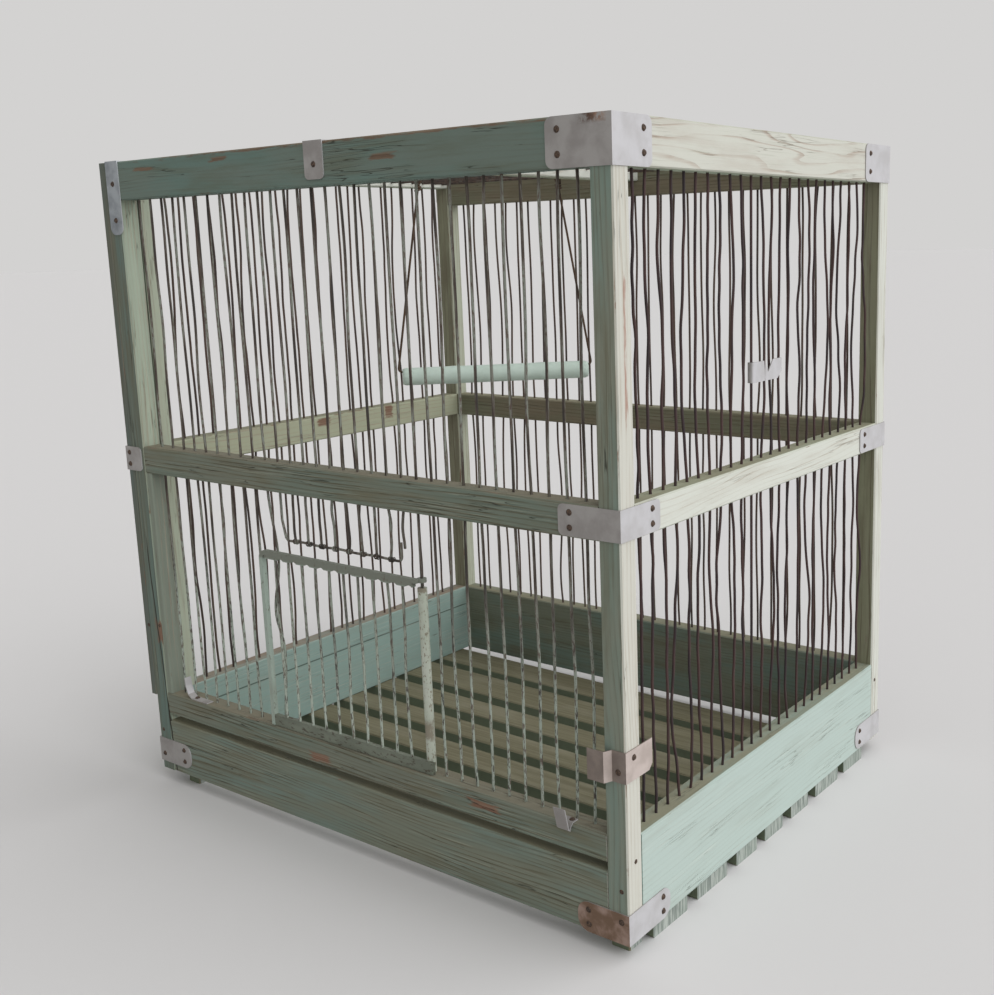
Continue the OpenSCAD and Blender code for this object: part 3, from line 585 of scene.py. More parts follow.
@dataclass(frozen=True)
class Tinplate:
    """Cut and folded tinplate gone dull, with a few rust spots.

    The eye gets a soft, slightly cloudy grey, painted brighter on faces towards the window as
    their light, and brown stains where water has stood.
    """

    name: str
    metal: str = "#9b9895"
    tarnish: str = "#8b8784"
    window_lit_metal: str = "#bfbec0"
    rust: str = "#4d3527"
    light_rust: str = "#937460"
    rusted: float = 0.1
    rusty_front: float = 0.0
    patches: tuple[Patch, ...] = ()

    def dress(self) -> bpy.types.Material:
        """Builds the material. Clouds are about 12 mm wide and rust spots about 2.5 mm.

        Returns:
            The finished material.
        """
        g = Finish.start(self.name)
        clouds = g.noise(Grain.ALONG_Z, 12, 12, 4, 0.55, 0.2)
        spots = g.noise(Grain.ALONG_Z, 2.5, 2.5, 5, 0.6, 0.2)
        start = 0.8 - 0.3 * self.rusted
        rusty = g.cut(spots, start, start + 0.06)
        facing = g.axes(g.normal())
        front = g.cut(facing[1], -0.9, -0.5, self.rusty_front, 0.0)
        rusty = g.most(rusty, g.times(front, g.cut(clouds, 0.25, 0.6, 0.75, 1.0)))
        for patch in self.patches:
            rusty = g.most(rusty, g.times(patch.mask(g, spots), g.cut(spots, 0.36, 0.56)))
        metal = g.blend(g.cut(clouds, 0.35, 0.7), self.metal, self.tarnish)
        # Faces towards the window get a paler grey: painted window light
        window_lit_tin = g.blend(g.cut(clouds, 0.3, 0.7, 0.0, 0.4), self.window_lit_metal, self.metal)
        metal = g.blend(g.cut(facing[0], 0.5, 0.95), metal, window_lit_tin)
        brown = g.blend(g.cut(clouds, 0.38, 0.62), self.light_rust, self.rust)
        rough = g.cut(clouds, 0.3, 0.8, 0.5, 0.65)
        shiny = g.less(0.15, g.times(rusty, 0.15))
        return g.end(g.blend(rusty, metal, brown), rough, metal=shiny, height=clouds, strength=0.5)


@dataclass(frozen=True)
class PaintedTin:
    """Thin painted sheet metal or cane, dull and chipped down to something darker.

    The eye gets an even pale green with brown pinholes and chips, and on the door a duller
    bar above a certain height.
    """

    name: str
    paint: str
    chip: str
    chipped: float = 0.3
    chip_mm: float = 2.0
    shade: str = "#7f8577"
    upper: str = "#8c9489"
    upper_from_mm: float | None = None
    patches: tuple[Patch, ...] = ()

    def dress(self, along: Grain = Grain.ALONG_Z) -> bpy.types.Material:
        """Builds the material.

        Args:
            along: the axis that chips and streaks follow.

        Returns:
            The finished material.
        """
        g = Finish.start(self.name)
        chips = g.noise(along, self.chip_mm, 2.5 * self.chip_mm, 5, 0.66)
        clouds = g.noise(along, 9, 26, 4, 0.6)
        start = 0.78 - 0.26 * self.chipped
        bare = g.cut(chips, start, start + 0.08, 0.0, 0.85)
        for patch in self.patches:
            bare = g.most(bare, g.times(patch.mask(g, chips), 0.75))
        paint = g.blend(g.cut(clouds, 0.4, 0.7, 0.0, 0.45), self.paint, self.shade)
        if self.upper_from_mm:
            height = g.axes(g.place())[2]
            over = g.cut(height, (self.upper_from_mm - 1) * MM, (self.upper_from_mm + 1) * MM)
            paint = g.blend(g.times(over, 0.9), paint, self.upper)
        base = g.blend(bare, paint, self.chip)
        return g.end(base, 0.6, 0.35, height=g.less(clouds, bare), depth_mm=0.12, strength=0.6)


@dataclass(frozen=True)
class RustedIron:
    """Cut iron nails, rusted all over. The eye gets dark, rough brown heads."""

    name: str = "rusted_iron_nails"
    dark: str = "#2e2623"
    light: str = "#65503f"

    def dress(self) -> bpy.types.Material:
        """Builds the material. The rust's grains are about half a millimetre across.

        Returns:
            The finished material.
        """
        g = Finish.start(self.name)
        grains = g.noise(Grain.ALONG_Z, 0.6, 0.6, 4, 0.6)
        base = g.blend(g.cut(grains, 0.35, 0.7), self.dark, self.light)
        return g.end(base, 0.7, metal=0.3, height=grains, depth_mm=0.1)


# ------------------------------------------------------------------------------ surfaces


@dataclass
class Surface:
    """Vertices and faces of one piece, as arrays.

    Attributes:
        verts: points, one row each.
        quads: four vertex numbers a row, anticlockwise from outside.
        tris: three vertex numbers a row, used for flat ends.
    """

    verts: Array
    quads: Array
    tris: Array

    @staticmethod
    def joined(parts: Sequence["Surface"]) -> "Surface":
        """Puts several surfaces into one, with their vertex numbers moved on.

        Args:
            parts: the surfaces, in order.

        Returns:
            One surface with the faces of all.
        """
        starts = np.cumsum([0] + [len(p.verts) for p in parts[:-1]])
        return Surface(
            np.concatenate([p.verts for p in parts]),
            np.concatenate([p.quads + s for p, s in zip(parts, starts)]),
            np.concatenate([p.tris + s for p, s in zip(parts, starts)]),
        )

    def to_object(self, name: str) -> bpy.types.Object:
        """Writes the arrays into a new mesh object at the origin.

        Args:
            name: the object's name.

        Returns:
            The linked object.
        """
        mesh = bpy.data.meshes.new(name)
        corners = np.concatenate([self.quads.ravel(), self.tris.ravel()]).astype(np.int32)
        sizes = np.concatenate([np.full(len(self.quads), 4), np.full(len(self.tris), 3)])
        mesh.vertices.add(len(self.verts))
        mesh.vertices.foreach_set("co", self.verts.astype(np.float32).ravel())
        mesh.loops.add(len(corners))
        mesh.loops.foreach_set("vertex_index", corners)
        mesh.polygons.add(len(sizes))
        starts = np.concatenate([[0], np.cumsum(sizes)[:-1]]).astype(np.int32)
        mesh.polygons.foreach_set("loop_start", starts)
        mesh.polygons.foreach_set("use_smooth", sizes == 4)
        mesh.update(calc_edges=True)
        mesh.validate()
        piece = bpy.data.objects.new(name, mesh)
        bpy.context.scene.collection.objects.link(piece)
        return piece


def unit(v: Array) -> Array:
    """Vectors scaled to a length of one, along the last axis."""
    return v / np.linalg.norm(v, axis=-1, keepdims=True)


def loft(rings: Array, capped: bool = True) -> Surface:
    """Joins rings of points into tubes.

    Ring i of each tube is joined to ring i + 1 by quads (i, j), (i, j + 1), (i + 1, j + 1),
    (i + 1, j), with j taken round the ring. Rings run anticlockwise as seen from ahead, so the
    quads face outwards. A cap is a fan about the mean of its ring.

    Args:
        rings: points as (tubes, rings, points in a ring, 3).
        capped: closes both ends with flat fans.

    Returns:
        The surface of all the tubes.
    """
    tubes, count, sides, _ = rings.shape
    number = np.arange(tubes * count * sides).reshape(tubes, count, sides)
    ahead = np.roll(number, -1, axis=2)
    quads = np.stack([number[:, :-1], ahead[:, :-1], ahead[:, 1:], number[:, 1:]], axis=-1)
    quads = quads.reshape(-1, 4)
    verts = rings.reshape(-1, 3)
    if not capped:
        return Surface(verts, quads, np.zeros((0, 3), int))
    ends = rings[:, [0, -1]].reshape(tubes * 2, sides, 3)
    middles = ends.mean(axis=1)
    base = len(verts)
    rim = base + np.arange(tubes * 2 * sides).reshape(tubes, 2, sides)
    hub = base + tubes * 2 * sides + np.arange(tubes * 2).reshape(tubes, 2, 1)
    hub = np.repeat(hub, sides, axis=2)
    turned = np.roll(rim, -1, axis=2)
    first = np.stack([hub[:, 0], turned[:, 0], rim[:, 0]], axis=-1).reshape(-1, 3)
    last = np.stack([hub[:, 1], rim[:, 1], turned[:, 1]], axis=-1).reshape(-1, 3)
    verts = np.concatenate([verts, ends.reshape(-1, 3), middles])
    return Surface(verts, quads, np.concatenate([first, last]))


def tubes(paths: Array, radius: float | Array, away: Sequence[float], sides: int = 8) -> Surface:
    """Round wires along paths.

    With t the unit tangent, b = t x away and c = t x b, a ring is p + r (cos a b + sin a c) for
    a from 0 to a full turn. The paths never run along away.

    Args:
        paths: points as (wires, points, 3).
        radius: one radius, or one for each point.
        away: a direction that no path follows.
        sides: points in a ring.

    Returns:
        The surface of all the wires.
    """
    t = unit(np.gradient(paths, axis=1))
    b = unit(np.cross(t, np.asarray(away, float)))
    c = np.cross(t, b)
    a = np.linspace(0, 2 * np.pi, sides, endpoint=False)
    r = np.broadcast_to(np.asarray(radius, float), paths.shape[:2])[..., None, None]
    ring = np.cos(a)[:, None] * b[:, :, None, :] + np.sin(a)[:, None] * c[:, :, None, :]
    return loft(paths[:, :, None, :] + r * ring)


def node_points(name: str) -> Array:
    """All vertices of a CAD node.

    Args:
        name: the CAD node.

    Returns:
        One point a row.
    """
    mesh = frame["nodes"][name].data
    flat = np.zeros(len(mesh.vertices) * 3, np.float32)
    mesh.vertices.foreach_get("co", flat)
    return flat.reshape(-1, 3).astype(float)


def centres_along(name: str, axis: int, gap: float = 3 * MM) -> Array:
    """Where the wires of a row stand, read from its CAD node.

    The sorted coordinates are split wherever two neighbours are further apart than a gap, and
    each group gives the middle of its range.

    Args:
        name: the CAD node.
        axis: the axis along which the row runs.
        gap: least distance between two wires.

    Returns:
        One coordinate for each wire.
    """
    values = np.sort(node_points(name)[:, axis])
    groups = np.split(values, np.flatnonzero(np.diff(values) > gap) + 1)
    return np.array([(g[0] + g[-1]) / 2 for g in groups])


def box_of(name: str) -> tuple[Array, Array]:
    """Lowest and highest corner of a CAD node as arrays."""
    low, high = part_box(name)
    return np.array(low), np.array(high)


# ------------------------------------------------------------------------------ the grille


# The waves in a free length of wire: half turns between its holds, and share of the bend or ripple
BENDS = ((1, 1.0), (2, 0.55), (3, 0.35), (5, 0.18))
RIPPLES = ((7, 1.0), (9, 0.9), (12, 0.7), (15, 0.5))


@dataclass
class WireRow:
    """A row of upright or lying wires, each with its own slight bends.

    A wire is held where it passes a rail. Between two holds its offset is the sum of sines
    A_k sin(k pi s), where s runs from 0 to 1 between the holds and A_k is drawn at random for
    each wire, so it leaves each hole straight on its line.

    Attributes:
        node, body: the CAD node that the row stands for, and its body.
        axis, run: the axis along which the row is laid out, and the one its wires follow.
        finish, slot_name: the row's finish, and a material slot's name, which is not used.
        holds: ranges along the wires in which rails hold them.
        bend_mm, ripple_mm: size of the long waves and of the short ones.
        seed: where the random draws start.
        straight: places of wires that stay straight because something turns on them.
        kinks: place of a kinked wire and the points of its kink, in millimetres.
        last_up_mm: how much higher than the others the last wire starts.
        shallow: size of the bends out of the row's plane, against those in it.
        steps: points along a wire.
    """

    node: str
    body: str
    axis: int
    run: int
    finish: bpy.types.Material
    slot_name: str
    holds: Sequence[tuple[float, float]]
    bend_mm: float = 0.7
    seed: int = 1
    straight: Sequence[float] = ()
    kinks: Sequence[tuple[float, Sequence[tuple[float, float]]]] = ()
    ripple_mm: float = 0.0
    last_up_mm: float = 0.0
    shallow: float = 0.6
    steps: int = 90

    def kinked(self, spots: Array, along: Array) -> Array:
        """Offsets of the few wires that were knocked out of line, as rounded steps.

        Between two of its points (s, d) a kink runs as d0 + (d1 - d0) (1 - cos pi u) / 2.

        Args:
            spots: where the wires stand, in metres.
            along: coordinates along the wires, in metres.

        Returns:
            One offset for each wire and point.
        """
        total = np.zeros((len(spots), len(along)))
        for spot_mm, points in self.kinks:
            wire = int(np.argmin(np.abs(spots - spot_mm * MM)))
            at, by = np.array(points).T * MM
            place = np.clip(np.interp(along, at, np.arange(len(at))), 0, len(at) - 1.000001)
            first = place.astype(int)
            u = (1 - np.cos(np.pi * (place - first))) / 2
            total[wire] = by[first] + (by[first + 1] - by[first]) * u
        return total

    def bends(self, count: int, along: Array, rng: np.random.Generator) -> Array:
        """Offsets of each wire from its line.

        Args:
            count: number of wires.
            along: coordinates along the wires.
            rng: source of random numbers.

        Returns:
            One offset for each wire and point.
        """
        total = np.zeros((count, len(along)))
        waves = [(k, share * self.bend_mm) for k, share in BENDS]
        waves += [(k, share * self.ripple_mm) for k, share in RIPPLES]
        for (_, low), (high, _) in zip(self.holds[:-1], self.holds[1:]):
            s = np.clip((along - low) / (high - low), 0, 1)
            for k, size_mm in waves:
                size = rng.normal(0, size_mm * MM, (count, 1))
                total += size * np.sin(k * np.pi * s)[None]
        return total

    def build(self) -> bpy.types.Object:
        """Builds the row as one piece that stands for its CAD node.

        Returns:
            The new piece.
        """
        low, high = box_of(self.node)
        spots = centres_along(self.node, self.axis)
        third = 3 - self.axis - self.run
        start, end = low[self.run], high[self.run]
        along = np.linspace(start, end, self.steps)
        rng = np.random.default_rng(self.seed)
        free = np.ones((len(spots), 1))
        for spot in self.straight:
            free[np.abs(spots - spot) < 3 * MM] = 0
        paths = np.zeros((len(spots), self.steps, 3))
        paths[..., self.run] = along[None]
        paths[-1, :, self.run] = np.linspace(start + self.last_up_mm * MM, end, self.steps)
        in_row = free * self.bends(len(spots), along, rng)
        paths[..., self.axis] = spots[:, None] + in_row + self.kinked(spots, along)
        out_of_row = free * self.shallow * self.bends(len(spots), along, rng)
        paths[..., third] = (low[third] + high[third]) / 2 + out_of_row
        radius = (high[third] - low[third]) / 2
        piece = tubes(paths, radius, np.eye(3)[third]).to_object(f"bent_{self.node}")
        return finished(piece, self.body, self.finish, [self.node])


def finished(
    piece: bpy.types.Object, body: str, material: bpy.types.Material,
    stands_for: Sequence[str] = (),
) -> bpy.types.Object:
    """Dresses a new piece, makes it ride on its body and stand for its CAD nodes.

    Args:
        piece: the object.
        body: the CAD body that it moves with.
        material: its finish.
        stands_for: the CAD nodes that it replaces.

    Returns:
        The same object.
    """
    piece.data.materials.clear()
    piece.data.materials.append(material)
    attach(piece, body)
    if stands_for:
        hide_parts(*stands_for)
    LOG.info("%s: %d vertices on %s", piece.name, len(piece.data.vertices), body)
    return piece


@dataclass
class Grille:
    """All the wires of the four sides and the roof, and the wire over the doorway."""

    # Its pale foot is partly paint that lasted, partly painted light
    painted: FlakedWire = FlakedWire(
        "iron_wire_painted_green", "#7f847a", "#35312c", painted=0.66, foot="#99a397", foot_mm=(110, 196),
    )
    rusty: FlakedWire = FlakedWire("iron_wire_rusted", "#5c5f56", painted=0.35)
    brown: FlakedWire = FlakedWire("iron_wire_rusted_brown", "#4d443e", "#2c2325", "#45312e", painted=0.15)
    tie_wire_r: float = 0.4 * MM
    tie_r: float = 1.25 * MM
    tie_step: float = 0.28 * MM
    turn_up_r: float = 3 * MM

    def holds(self, lower: str, upper: str, middle: str) -> list[tuple[float, float]]:
        """Height ranges in which the wires are held, from the rails that hold them."""
        return [(float(box_of(n)[0][2]), float(box_of(n)[1][2])) for n in (lower, middle, upper)]

    def build(self) -> None:
        """Builds every row and the wire over the doorway with its ties."""
        green = self.painted.dress()
        rust, brown = self.rusty.dress(), self.brown.dress()
        hinge = float(np.mean([box_of("door_hinge_barrel")[i][0] for i in (0, 1)]))
        clip = float(box_of("greens_clip")[0][1]) + 2 * MM
        front = self.holds("front_sill", "top_rail_front", "mid_rail_front")
        back = self.holds("bottom_board_back", "top_rail_back", "mid_rail_back")
        left = self.holds("bottom_board_left", "top_batten_left", "mid_rail_left")
        right = self.holds("bottom_board_right", "top_rail_right", "mid_rail_right")
        bar_low, bar_high = box_of("roof_centre_bar")
        low, high = box_of("roof_wires")
        roof = [(low[0], low[0] + 6 * MM), (bar_low[0], bar_high[0]), (high[0] - 6 * MM, high[0])]
        hooks = [top[1] for top in hook_tops()]
        bumped = [(-69, [(66, 0), (118, 2.7), (139, -2.3), (175, 4.3), (219, 0)])]
        foot = box_of("front_short_wires")[0][2]
        short = [(foot - 4 * MM, foot)] + front[1:]
        painted, rusted = ("painted_wire", "rusty_wire")
        rows = (
            WireRow("front_wires", "cage", 0, 2, green, painted, front, 0.6, 21, [hinge], bumped),
            WireRow("front_short_wires", "cage", 0, 2, green, painted, short, 0.45, 22, last_up_mm=9.0),
            WireRow("back_wires", "cage", 0, 2, rust, rusted, back, 0.8, 23),
            WireRow("left_wires", "cage", 1, 2, rust, rusted, left, 1.0, 24, ripple_mm=0.05),
            WireRow("right_wires", "cage", 1, 2, brown, rusted, right, 1.5, 25, [clip], ripple_mm=0.16),
            WireRow("roof_wires", "cage", 1, 0, rust, rusted, roof, 0.6, 26, hooks),
        )
        for row in rows:
            row.build()
        self.over_doorway(green)

    def over_doorway(self, green: bpy.types.Material) -> None:
        """The bent wire over the doorway and the small ties that hold the short wires to it.

        The wire comes straight down, slants to the right and forwards in one straight piece,
        runs across with a slight wave, and turns up through a quarter circle. Each tie is a coil
        round the level wire, p = c + (h a, R cos a, R sin a), that starts at its short wire.

        Args:
            green: the finish of both.
        """
        low, high = box_of("door_head_wire")
        r, bend = WIRE_R, self.turn_up_r
        x0, x1, z0 = low[0] + r, high[0] - r, low[2] + r
        y_row, y_out = high[1] - r, low[1] + r
        a = np.linspace(0, np.pi / 2, 9)
        down = np.linspace([x0, y_row, high[2]], [x0, y_row, z0 + 12 * MM], 40)
        slant = np.linspace(
            [x0 + 0.4 * MM, y_row, z0 + 10.5 * MM], [x0 + 4.6 * MM, y_out, z0 + 2 * MM], 6
        )
        across = np.linspace([x0 + 6.5 * MM, y_out, z0], [x1 - 2 * bend, y_out, z0], 40)
        across[:, 2] += 0.5 * MM * np.sin(np.linspace(0, 3 * np.pi, 40)) ** 2
        turn = [x1 - bend + bend * np.sin(a), np.full(9, y_out), z0 + bend - bend * np.cos(a)]
        tip = np.linspace([x1, y_out, z0 + 2 * bend], [x1, y_out, z0 + bend + 8 * MM], 2)
        path = np.concatenate([down, slant, across, np.stack(turn, axis=1), tip])[None]
        wire = tubes(path, r, [0, 1, 0]).to_object("bent_door_head_wire")
        finished(wire, "cage", green, ["door_head_wire"])
        spots = centres_along("front_short_wires", 0)[:-1]
        a = np.linspace(0, 5 * np.pi, 44)
        coil = np.stack([self.tie_step * a, self.tie_r * np.cos(a), self.tie_r * np.sin(a)], axis=1)
        level = (np.full(len(spots), y_out), np.full(len(spots), z0 + 0.2 * MM))
        ties = np.stack([spots, *level], axis=1)[:, None, :] + coil[None]
        piece = tubes(ties, self.tie_wire_r, [1, 0, 0], 6).to_object("doorway_wire_ties")
        finished(piece, "cage", green)


def hook_tops() -> list[Array]:
    """The two places where the hanger's hooks rest on the roof wires.

    Returns:
        Two points, the front hook first, each the middle of its ring's top.
    """
    points = node_points("swing_hanger")
    high = points[points[:, 2] > points[:, 2].max() - 3 * MM]
    middle = high.mean(axis=0)
    ends = [high[high[:, 1] < middle[1]], high[high[:, 1] >= middle[1]]]
    return [(e.min(axis=0) + e.max(axis=0)) / 2 for e in ends]


# ------------------------------------------------------------------------------ timber and tin


# Places where the paint has gone down to the wood: three on the sill, and round the nail in
# the front left post; on the front top rail its worn upper edge and three short streaks
BARE_PLACES = (
    Patch((-31, -158, 55.6), (11, 4, 3.4)),
    Patch((102, -158, 59.8), (13, 4, 2.4)),
    Patch((-95, -158, 68), (8, 4, 2)),
    Patch((-185, -158, 109), (5, 4, 9)),
)
RAIL_PLACES = (
    Patch((20, -157.5, 418.6), (175, 3, 2.6), 2.2),
    Patch((-155, -157.5, 412), (12, 3, 1.3), 1.9),
    Patch((-82, -157.5, 413.5), (9, 3, 1.6), 1.8),
    Patch((52, -157.5, 407), (11, 3, 2.0), 1.9),
)


def dressed(name: str, material: bpy.types.Material) -> None:
    """Gives a CAD node its finish and leaves its mesh alone.

    Args:
        name: the CAD node.
        material: its finish.
    """
    mesh = frame["nodes"][name].data
    mesh.materials.clear()
    mesh.materials.append(material)
    LOG.info("%s: %s", name, material.name)


def coat(like: WeatheredPaint, name: str, **changes: Any) -> WeatheredPaint:
    """Another coat of the same paint, with its own name and changes."""
    return replace(like, name=f"oil_paint_on_pine_{name}", **changes)


@dataclass
class Carcass:
    """The posts, rails, boards, bar and slats, dressed where the CAD frame has them."""

    # Each coat's third colour, on faces towards the window, is painted window light
    teal: WeatheredPaint = WeatheredPaint(
        "oil_paint_on_pine_teal", "#787d6e", "#70837a", "#c8c7bd", patches=BARE_PLACES,
        splits=(Split((-192, 184), (-185.5, 75), 1.3),),
    )
    cream: WeatheredPaint = WeatheredPaint(
        "oil_paint_on_pine_cream", "#a3ab93", "#a4b29d", "#cccec5", crack="#857a6c", cracked=0.5,
        ringed=0.55, spacing_mm=2.6, sway_mm=22.0, ring_from=0.7,
    )
    aqua: WeatheredPaint = WeatheredPaint(
        "oil_paint_on_pine_aqua", "#88a39c", "#82a6a2", "#b1bfb8", sun_ring="#98a096", pale="#cfd3ca",
        crack="#5f645b", cracked=0.5, ringed=0.45, flaked=0.1, spacing_mm=2.2, sway_mm=10.0, ring_from=0.65,
    )
    slats: BareWood = BareWood("bare_pine_greyed")

    def of_nodes(self) -> dict[str, WeatheredPaint]:
        """Timbers whose coat differs from the rest of their slot.

        Returns:
            The coat of each such CAD node.
        """
        teal, cream = self.teal, self.cream
        # The paler colours given below for faces towards the window are painted window light
        worn = coat(
            teal, "worn", paint="#72776a", ringed=1.0, cracked=0.7, tint="#6c796d", dirt="#6b6249",
            dust="#7d7766", sway_mm=9.0, recoats=((Patch((66, -150, 64), (12, 3, 3), 1.8), "#43362a"),),
        )
        rail = coat(
            teal, "rail", paint="#6a776e", tint="#637a72", dirt="#5f6555", pale="#7f8d83", wood="#5f4c3d",
            worn_wood="#776352", ringed=0.3, cracked=0.75, patches=RAIL_PLACES, splits=(),
        )
        near = coat(
            teal, "near", paint="#7f8476", tint="#76897f",
            recoats=((Patch((198.4, -150.6, 312), (2, 1.3, 38), 1.7), "#a5877a"),),
        )
        aged = coat(cream, "aged", sunned="#c6c6bc", sun_ring="#a08a7b", ringed=0.7, sway_mm=28.0)
        board = coat(teal, "board", ringed=0.85, tint="#72837a", sway_mm=14.0)
        lath = coat(
            teal, "lath", paint="#5f655d", tint="#5c6863", sunned="#636a60", pale="#788076", ringed=0.5
        )
        corner = coat(
            teal, "corner", paint="#656e63", tint="#62756e", sunned="#a8b4a1", cracked=0.7, ringed=0.7
        )
        olive = coat(teal, "olive", paint="#7b725f", tint="#737661", ringed=0.7, patches=(), splits=())
        back = coat(
            cream, "back", paint="#7f7d68", tint="#85876f", ringed=0.8, cracked=0.6, sway_mm=12.0
        )
        stained = coat(
            back, "stained", sunned="#adb29f", sun_ring="#8b7a66", dirt="#5d5344", flaked=0.6
        )
        inner = coat(
            cream, "inner", sunned="#a9ac93", ringed=0.8, flaked=0.5, sway_mm=12.0,
            patches=(Patch((-184, 64, 232), (6, 5, 6)), Patch((-184, -4, 232), (6, 7, 3.5))),
        )
        stile = coat(
            cream, "stile", sunned="#b3bba7", cracked=1.0, sway_mm=12.0,
            recoats=((Patch((-181.2, -152.5, 150), (3.2, 6.2, 98), 0.1), "#7f877a"),),
        )
        left = coat(
            self.aqua, "blue", sunned="#92a9a1", ringed=0.6, cracked=0.6, dust="#8f7f6e",
            recoats=((Patch((-184, 0, 49.6), (6, 160, 0.6), 0.6), "#5c6c64"),),
        )
        return {
            "top_rail_front": rail,
            "post_front_right": near,
            "top_rail_right": aged,
            "mid_rail_front": worn,
            "front_sill": worn,
            "bottom_board_front": board,
            "left_lath": lath,
            "post_front_left": corner,
            "top_rail_back": olive,
            "mid_rail_back": olive,
            "post_back_left": stained,
            "post_back_right": back,
            "mid_rail_left": inner,
            "left_stiles": stile,
            "bottom_board_left": left,
        }

    def build(self) -> None:
        """Dresses every timber with its coat, along its own fibres."""
        styles = {
            "front_paint": self.teal,
            "pale_paint": self.cream,
            "aqua_paint": self.aqua,
            "slat_wood": self.slats,
        }
        own = self.of_nodes()
        made: dict[tuple[str, int], bpy.types.Material] = {}
        for part in frame["record"]["subparts"]:
            name, slot_name = part["node"], part["material_slot"]
            if slot_name not in styles:
                continue
            style = own.get(name, styles[slot_name])
            low, high = box_of(name)
            along = Grain.ALONG_X if slot_name == "slat_wood" else Grain(int(np.argmax(high - low)))
            key = (style.name, along.value)
            if key not in made:
                made[key] = style.dress(along)
            dressed(name, made[key])


@dataclass
class TinFittings:
    """Brackets, straps, clips, tacks and nails."""

    dull: Tinplate = Tinplate("tinplate_dull", patches=(Patch((187, -158, 417), (9, 3, 4), 2.0),))
    front_foot: Tinplate = Tinplate(
        "tinplate_rusted_in_front", rust="#6b5340", light_rust="#94796a", rusty_front=1.0,
    )
    clip: Tinplate = Tinplate("tinplate_pinkish", metal="#857970", tarnish="#71665f", window_lit_metal="#c0b3ac")
    strap: Tinplate = Tinplate("tinplate_blue_grey", metal="#9aa0a4", tarnish="#74797e", window_lit_metal="#c3c6c9")
    nails: RustedIron = RustedIron()

    def build(self) -> None:
        """Dresses the fittings; the one at the front right foot is rusty in front only."""
        dull, nails = self.dull.dress(), self.nails.dress()
        special = {
            "bracket_foot_front_right": self.front_foot.dress(),
            "strip_clip": self.clip.dress(),
            "strap_top_front_left": self.strap.dress(),
        }
        for part in frame["record"]["subparts"]:
            name, slot_name = part["node"], part["material_slot"]
            if slot_name == "iron_nails":
                dressed(name, nails)
            elif slot_name == "bare_tin":
                dressed(name, special.get(name, dull))


# ------------------------------------------------------------------------------ door and swing


@dataclass
class WireDoor:
    """The wire door: folded tin frame, rolled barrel, wires and strip."""

    frame_tin: PaintedTin = PaintedTin(
        "sheet_tin_painted_aqua", "#9aa89d", "#5d5244", 0.75, 1.4, upper="#6f7267", upper_from_mm=176,
    )
    barrel_tin: PaintedTin = PaintedTin(
        "sheet_tin_painted_pale", "#a9b0a1", "#716452", 0.9, 1.1, "#c0c3b8",
        patches=(Patch((57.5, -154, 92), (4, 4, 7), 1.9), Patch((57.5, -154, 176), (4, 4, 3.5), 1.4)),
    )
    strip_tin: PaintedTin = PaintedTin("sheet_tin_painted_grey", "#666c5f", "#463f33", 0.9, 2.2, "#858c7d")
    # Their pale foot is partly paint that lasted, partly painted light
    wires: FlakedWire = FlakedWire(
        "door_wire_painted_green", "#848b7f", "#3a3631", painted=0.85, foot_mm=(76, 180),
    )

    def build(self) -> None:
        """Dresses the tin and bends the door's wires a little."""
        dressed("door_frame", self.frame_tin.dress())
        dressed("door_hinge_barrel", self.barrel_tin.dress())
        dressed("door_bottom_strip", self.strip_tin.dress(Grain.ALONG_X))
        strip_low, strip_high = box_of("door_bottom_strip")
        top = box_of("door_frame")[1][2]
        holds = [(strip_low[2], strip_high[2]), (top - 5 * MM, top)]
        WireRow("door_wires", "door", 0, 2, self.wires.dress(), "painted_wire", holds, 0.5, 31).build()


